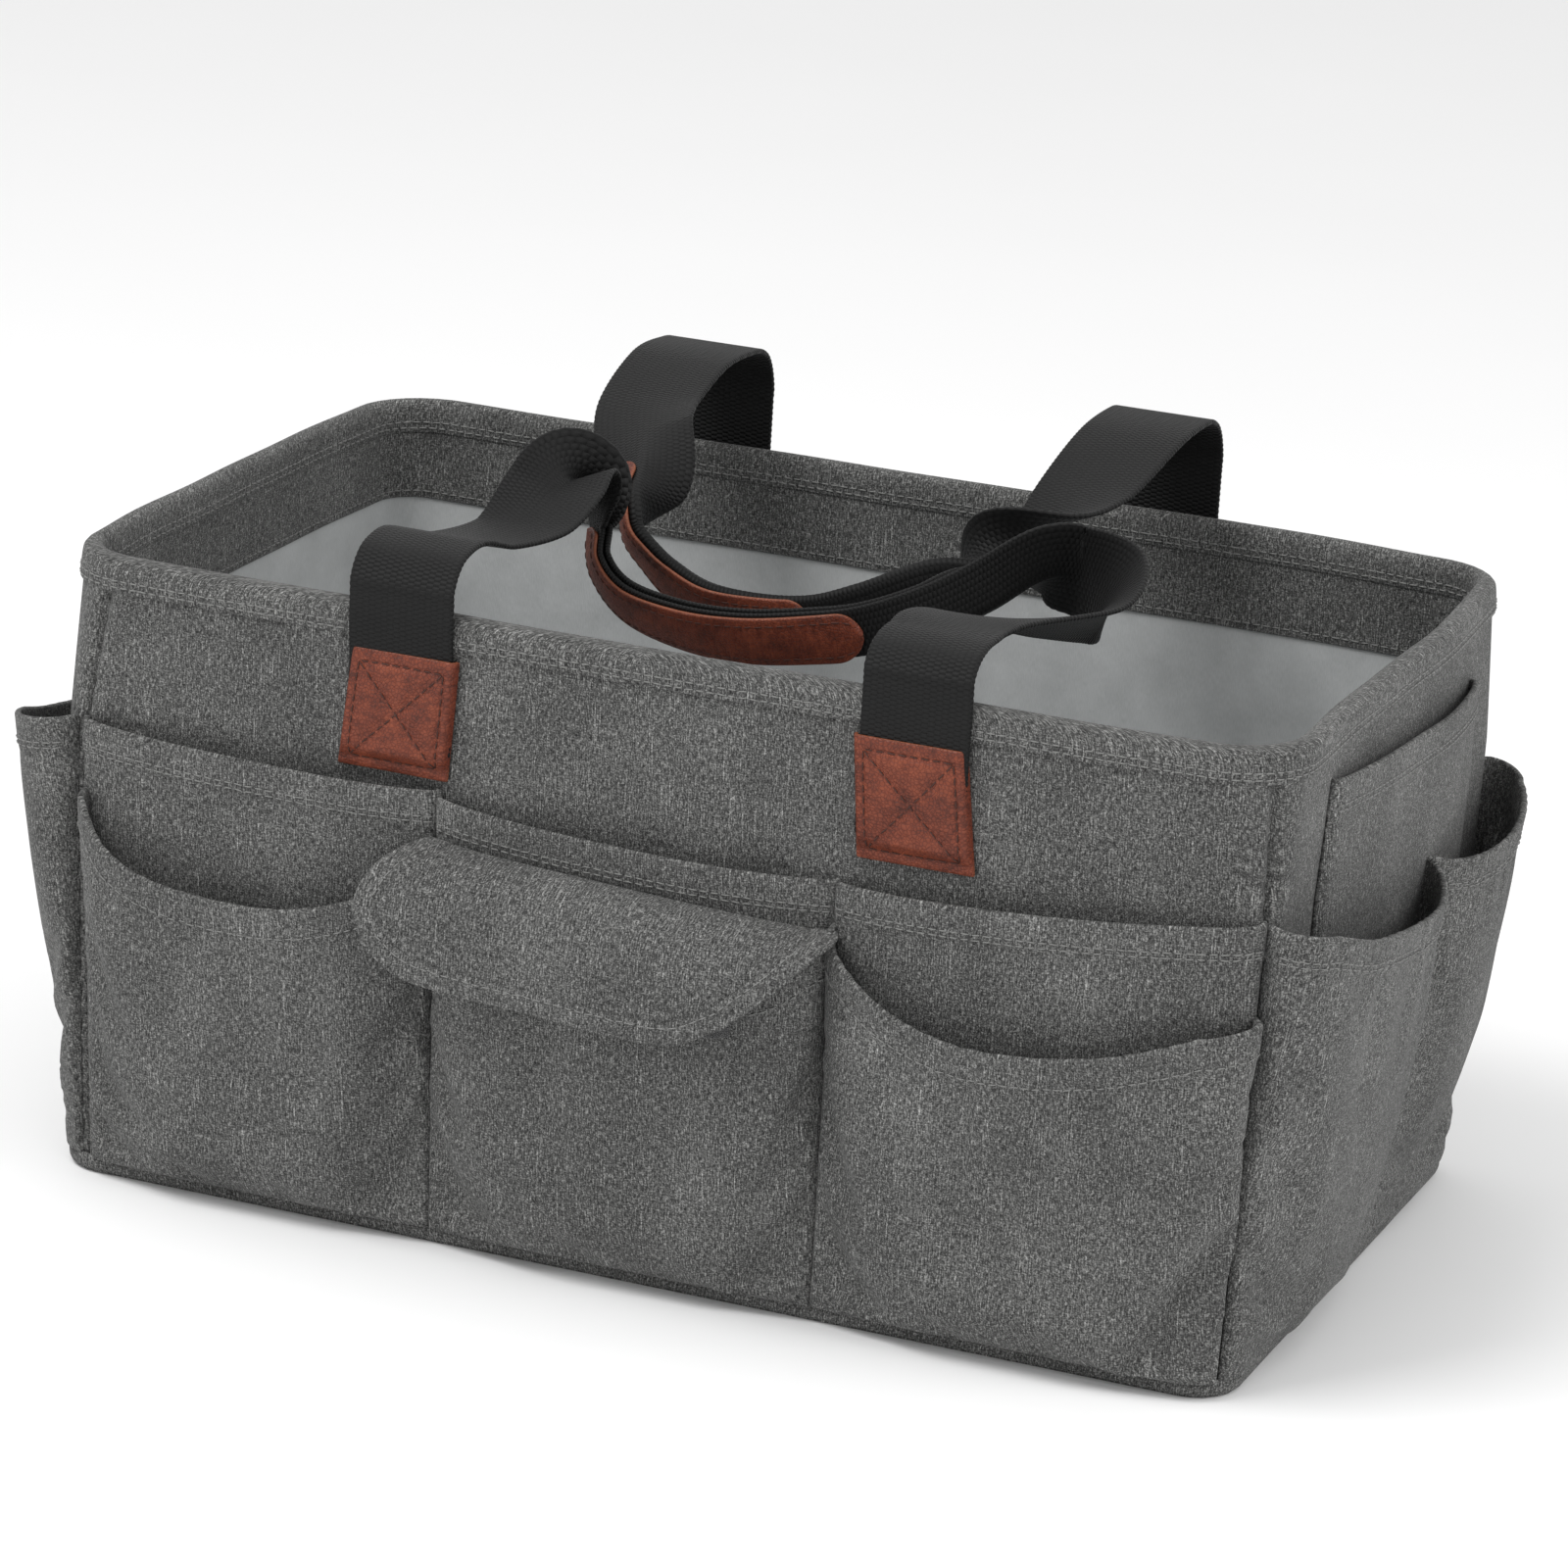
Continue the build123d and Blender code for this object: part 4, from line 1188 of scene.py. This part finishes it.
def face_normals(face, flat, wanted):
    """Normals of a sheet at the nearest points of its flat pattern."""
    normal = normals_of(face).reshape(-1, 3)
    spots = flat.reshape(-1, 2)
    nearest = [int(np.argmin(((spots - point) ** 2).sum(1))) for point in wanted]
    return normal[nearest]


# ---------------------------------------------------------------- straps and handles

def route_rows(route):
    """A route's points as rows of numbers: middle, width direction and width."""
    rows = np.array([[*middle, *across, width] for middle, across, width in route], float)
    rows[:, 3:6] /= np.linalg.norm(rows[:, 3:6], axis=1, keepdims=True)
    return rows


def strap_sections(route, step):
    """Evenly spaced places along a strap."""
    rows = route_rows(route)
    line = curve_through(rows, 12 * len(rows))
    return evenly(line, int(length_of(line) / step))


def strap_frames(sections):
    """Middle, across, normal and width at every section."""
    middle, across, width = sections[:, :3], sections[:, 3:6], sections[:, 6]
    along = np.gradient(middle, axis=0)
    along /= np.linalg.norm(along, axis=1, keepdims=True)
    across = across - along * (across * along).sum(1, keepdims=True)
    across /= np.linalg.norm(across, axis=1, keepdims=True)
    return middle, across, np.cross(along, across), width


FOLD_RADIUS = 1.15
WEBBING_STEP = 0.475        # between rows of the mesh, for the teeth of the woven edge
TOOTH_PITCH = 1.9
GRIP_OUT = 1.75             # middle of the leather, from the middle of the webbing
GRIP_CROWN = 0.7
GRIP_ROW = 0.76             # stitched rows, as a share of the grip's half width


def folded_section(width, count):
    """Half a strap folds behind the other as its width shrinks: (across, behind) offsets."""
    fold = pi * np.clip((STRAP_WIDTH - width) / (STRAP_WIDTH - FOLDED_WIDTH), 0, 1)
    half = STRAP_WIDTH / 2
    q = np.linspace(half, -half, 241)
    bend = FOLD_RADIUS * max(fold, 1e-3)
    heading = fold * np.clip((bend / 2 - q) / bend, 0, 1)
    step = q[0] - q[1]
    across = (half - (STRAP_WIDTH - width) / 2) - np.concatenate(
        [[0], np.cumsum(np.cos(heading[1:]) * step)])
    behind = -np.concatenate([[0], np.cumsum(np.sin(heading[1:]) * step)])
    wanted = np.linspace(half, -half, count)
    return np.stack([np.interp(wanted, q[::-1], across[::-1]),
                     np.interp(wanted, q[::-1], behind[::-1])], -1), wanted


def webbing_piece(name, sections, ends, start=0.0, fold_side=1):
    """A length of webbing, folded lengthways where it is narrow, with a toothed edge."""
    middle, across, normal, width = strap_frames(sections)
    count = 27
    length = lengths_along(middle)
    grid = np.zeros((len(middle), count, 3))
    uv = np.zeros((len(middle), count, 2))
    for index in range(len(middle)):
        offsets, wanted = folded_section(width[index], count)
        tooth = 1 + 0.006 * np.sin(2 * pi * (length[index] + start) / TOOTH_PITCH)
        offsets = offsets * tooth * (fold_side, 1)
        grid[index] = (middle[index] + across[index] * offsets[:, :1]
                       + normal[index] * offsets[:, 1:])
        uv[index, :, 0] = wanted
        uv[index, :, 1] = length[index] + start
    grid, uv = grid[:, ::fold_side], uv[:, ::fold_side]
    return sheet(name, grid, WEBBING, STRAP_WEBBING, uv=uv, caps=(ends, (1, 1)))


def strap_offset(side, x, z, out):
    """A point of a strap on or above a long wall."""
    wall_across = x if side == "front" else -x
    return on_wall(side, wall_across, z, out)


def handles():
    """Both handles: sewn ends, leather patches, rising arches, free webbing and leather grips."""
    for side in ("front", "back"):
        turn = 1 if side == "front" else -1
        lift = LIFT_HEIGHT[side]
        plumb = turn * -(WIDTH / 2 + FLARE + STRAP_OUT)
        seam_height = lift - 2
        sewn = []
        for x in STRAP_CENTRES[side]:
            heights = np.arange(STRAP_TAIL + 2.5, seam_height, WEBBING_STEP)
            heights = np.append(heights, seam_height)
            low = strap_offset(side, x, heights, STRAP_OUT)
            blend = np.clip((heights - 180) / 16, 0, 1)
            low[:, 1] = low[:, 1] * (1 - blend) + plumb * blend
            low[:, 0] = x
            rows = np.concatenate([low, np.tile([1.0, 0, 0], (len(low), 1)),
                                   np.full((len(low), 1), STRAP_WIDTH)], 1)
            sewn.append(webbing_piece(f"{side}_sewn_{x:+.0f}", rows, (1, 0)))
        ends = joined(f"{side}_sewn_webbing", sewn)
        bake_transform(ends)
        finish_piece(ends, None, [f"{side}_strap_ends", f"{side}_strap_risers"])

        route = ROUTES[side]
        radius = abs(plumb) - BEND_MIDDLE

        def arch(x, top):
            """From the upright strap over to the free webbing."""
            spots = [(x, plumb, seam_height), (x, plumb, lift + (top - lift) * 0.15)]
            for angle in (35, 60):
                y = turn * -(BEND_MIDDLE + radius * cos(radians(angle)))
                spots.append((x, y, lift + (top - lift) * sin(radians(angle))))
            return [(spot, (1, 0, 0), STRAP_WIDTH) for spot in spots]

        first, last = route[0][0], route[-1][0]
        whole = arch(first[0], first[2]) + route + arch(last[0], last[2])[::-1]
        sections = strap_sections(whole, WEBBING_STEP)
        free = webbing_piece(f"{side}_handle_webbing", sections, (0, 0), start=seam_height,
                             fold_side=FOLD_SIDES[side])
        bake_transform(free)
        finish_piece(free, None, [f"{side}_strap_bends", f"{side}_webbing"])
        grip(side, route)
        for x, name in zip(STRAP_CENTRES[side], ("left", "right")):
            patch(side, x, f"{side}_{name}_patch")


def grip(side, route):
    """Leather strip sewn to the outside of the folded webbing, with rounded ends."""
    rows = route_rows(route)
    line = curve_through(rows, 24 * len(rows))
    at = [int(np.argmin(np.linalg.norm(line[:, :3] - rows[index, :3], axis=1)))
          for index in GRIP_SPANS[side]]
    sections = evenly(line[at[0]:at[1]], 150)
    middle, across, normal, width = strap_frames(sections)
    middle = middle + across * (FOLD_SIDES[side] * (width - FOLDED_WIDTH) / 2)[:, None]
    length = lengths_along(middle)
    half = GRIP_WIDTH / 2
    near = np.minimum(length, length[-1] - length)
    reach = half * np.sqrt(np.clip(1 - (1 - np.clip(near / half, 0, 1)) ** 2, 0.03, 1))
    shares = np.linspace(1, -1, 25)
    crown = GRIP_CROWN * (1 - shares ** 2)
    grid = (middle[:, None] + across[:, None] * (reach[:, None] * shares)[..., None]
            + normal[:, None] * (GRIP_OUT + crown)[None, :, None])
    uv = np.stack([reach[:, None] * shares, np.repeat(length[:, None], 25, 1)], -1)
    made = sheet(f"{side}_leather_grip", grid, LEATHER, TRIM_LEATHER, uv=uv, edge_cut=True)
    finish_piece(made, f"{side}_handle", [f"{side}_grip"])
    rows = []
    for sign in (-1, 1):
        share = sign * GRIP_ROW
        surface = (middle + across * (reach * share)[:, None]
                   + normal * (GRIP_OUT + GRIP_CROWN * (1 - share ** 2) + LEATHER / 2))
        rows.append((surface[3:-3], normal[3:-3]))
    sew_leather(f"{side}_grip_stitches", rows, 51, 0.22, f"{side}_handle")


def patch(side, x, node):
    """Leather patch over a strap's sewn end: crossed stitching with four raised quarters."""
    columns, rows = 60, 64
    half = PATCH_WIDTH / 2
    low, high = PATCH_LOW, PATCH_LOW + PATCH_HEIGHT
    u, z = np.meshgrid(np.linspace(-half, half, columns), np.linspace(low, high, rows),
                       indexing="ij")
    middle = (low + high) / 2
    p = u / half
    q = (z - middle) / (PATCH_HEIGHT / 2)
    cross = np.minimum(np.abs(p - q), np.abs(p + q)) * half / sqrt(2)
    edge = np.minimum(1 - np.abs(p), 1 - np.abs(q)) * half
    pad = 0.75 * (1 - np.exp(-(cross / 2.4) ** 2)) * np.clip((edge - 2.6) / 3, 0, 1)
    groove = -0.35 * np.exp(-((edge - 3.0) / 0.8) ** 2)
    over_strap = np.clip((z - STRAP_TAIL + 2.5) / 4, 0, 1)
    over_strap = over_strap * np.clip((half - np.abs(u)) / 0.9, 0, 1)
    out = 1.0 + over_strap * (WEBBING + 0.35) + pad + groove + LEATHER / 2
    out = out - 0.35 * (np.clip(1 - edge / 1.5, 0, 1))
    across = x + u
    if side == "back":
        across, z, out = -across[::-1], z[::-1], out[::-1]
    grid = on_wall(side, across, z, out)
    made = sheet(f"{side}_{'left' if x < 0 else 'right'}_leather_patch", grid, LEATHER,
                 TRIM_LEATHER, start=(x, 0), edge_cut=True)
    finish_piece(made, "bag", [node])
    normal = normals_of(grid)
    surface = grid + normal * LEATHER / 2

    def at(p_share, q_share):
        """A stitched line between two corners of the patch."""
        a = np.linspace(p_share[0], p_share[1], 60) * (columns - 1)
        b = np.linspace(q_share[0], q_share[1], 60) * (rows - 1)
        return sample(surface, a, b), sample(normal, a, b)

    low_share, high_share = 0.09, 0.91
    lines = [
        at((low_share, high_share), (low_share, low_share)),
        at((low_share, high_share), (high_share, high_share)),
        at((low_share, low_share), (low_share, high_share)),
        at((high_share, high_share), (low_share, high_share)),
        at((low_share, high_share), (low_share, high_share)),
        at((low_share, high_share), (high_share, low_share)),
    ]
    sew_leather(f"{made.name}_stitches", lines, 61, 0.25, "bag")


# ---------------------------------------------------------------- fastening tapes

def tapes(hang, pockets):
    """Hook tape under the flap and loop tape on the middle pocket."""
    grid = pockets["middle"].grid
    normal = normals_of(grid)
    surface = grid + normal * 0.95
    a = np.linspace(0.27, 0.73, 40) * (grid.shape[0] - 1)
    rows = []
    for share in np.linspace(0.86, 0.94, 8):
        rows.append(sample(surface, a, np.full(40, share * (grid.shape[1] - 1))))
    loop = sheet("loop_tape", np.stack(rows, 1), 0.9, FASTENING)
    finish_piece(loop, "bag", ["flap_loop_tape"])
    x, d = np.meshgrid(np.linspace(-28, 28, 40), np.linspace(32, 45, 10), indexing="ij")
    under = hang(x, d)
    side = normals_of(under)
    if side[20, 5, 1] > 0:
        side = -side
    hook = sheet("hook_tape", under - side * 1.3, 0.8, FASTENING)
    finish_piece(hook, "flap", ["flap_hook_tape"])


# ---------------------------------------------------------------- the scene

set_camera()
softbox("key_light", (-0.6, -0.85, 1.85), 0.9, 21)
softbox("side_light", (1.7, -0.1, 1.1), 1.0, 10)
world = bpy.data.worlds.new("studio")
world.use_nodes = True
sky = world.node_tree.nodes["Background"].inputs
sky["Color"].default_value = (1, 1, 1, 1)
sky["Strength"].default_value = 0.8
bpy.context.scene.world = world
bpy.context.scene.view_settings.view_transform = "Standard"

FLOOR_HALF = 6.0
floor_mesh = bpy.data.meshes.new("floor")
floor_mesh.from_pydata([(-FLOOR_HALF, -FLOOR_HALF, 0), (FLOOR_HALF, -FLOOR_HALF, 0),
                        (FLOOR_HALF, FLOOR_HALF, 0), (-FLOOR_HALF, FLOOR_HALF, 0)],
                       [], [(0, 1, 2, 3)])
floor_mesh.materials.append(paper_floor("studio_paper"))
floor = bpy.data.objects.new("floor", floor_mesh)
bpy.context.scene.collection.objects.link(floor)

walls()
rim()
base()
upper_pockets()
deep = lower_pockets()
side_pockets()
tapes(flap(), deep)
handles()
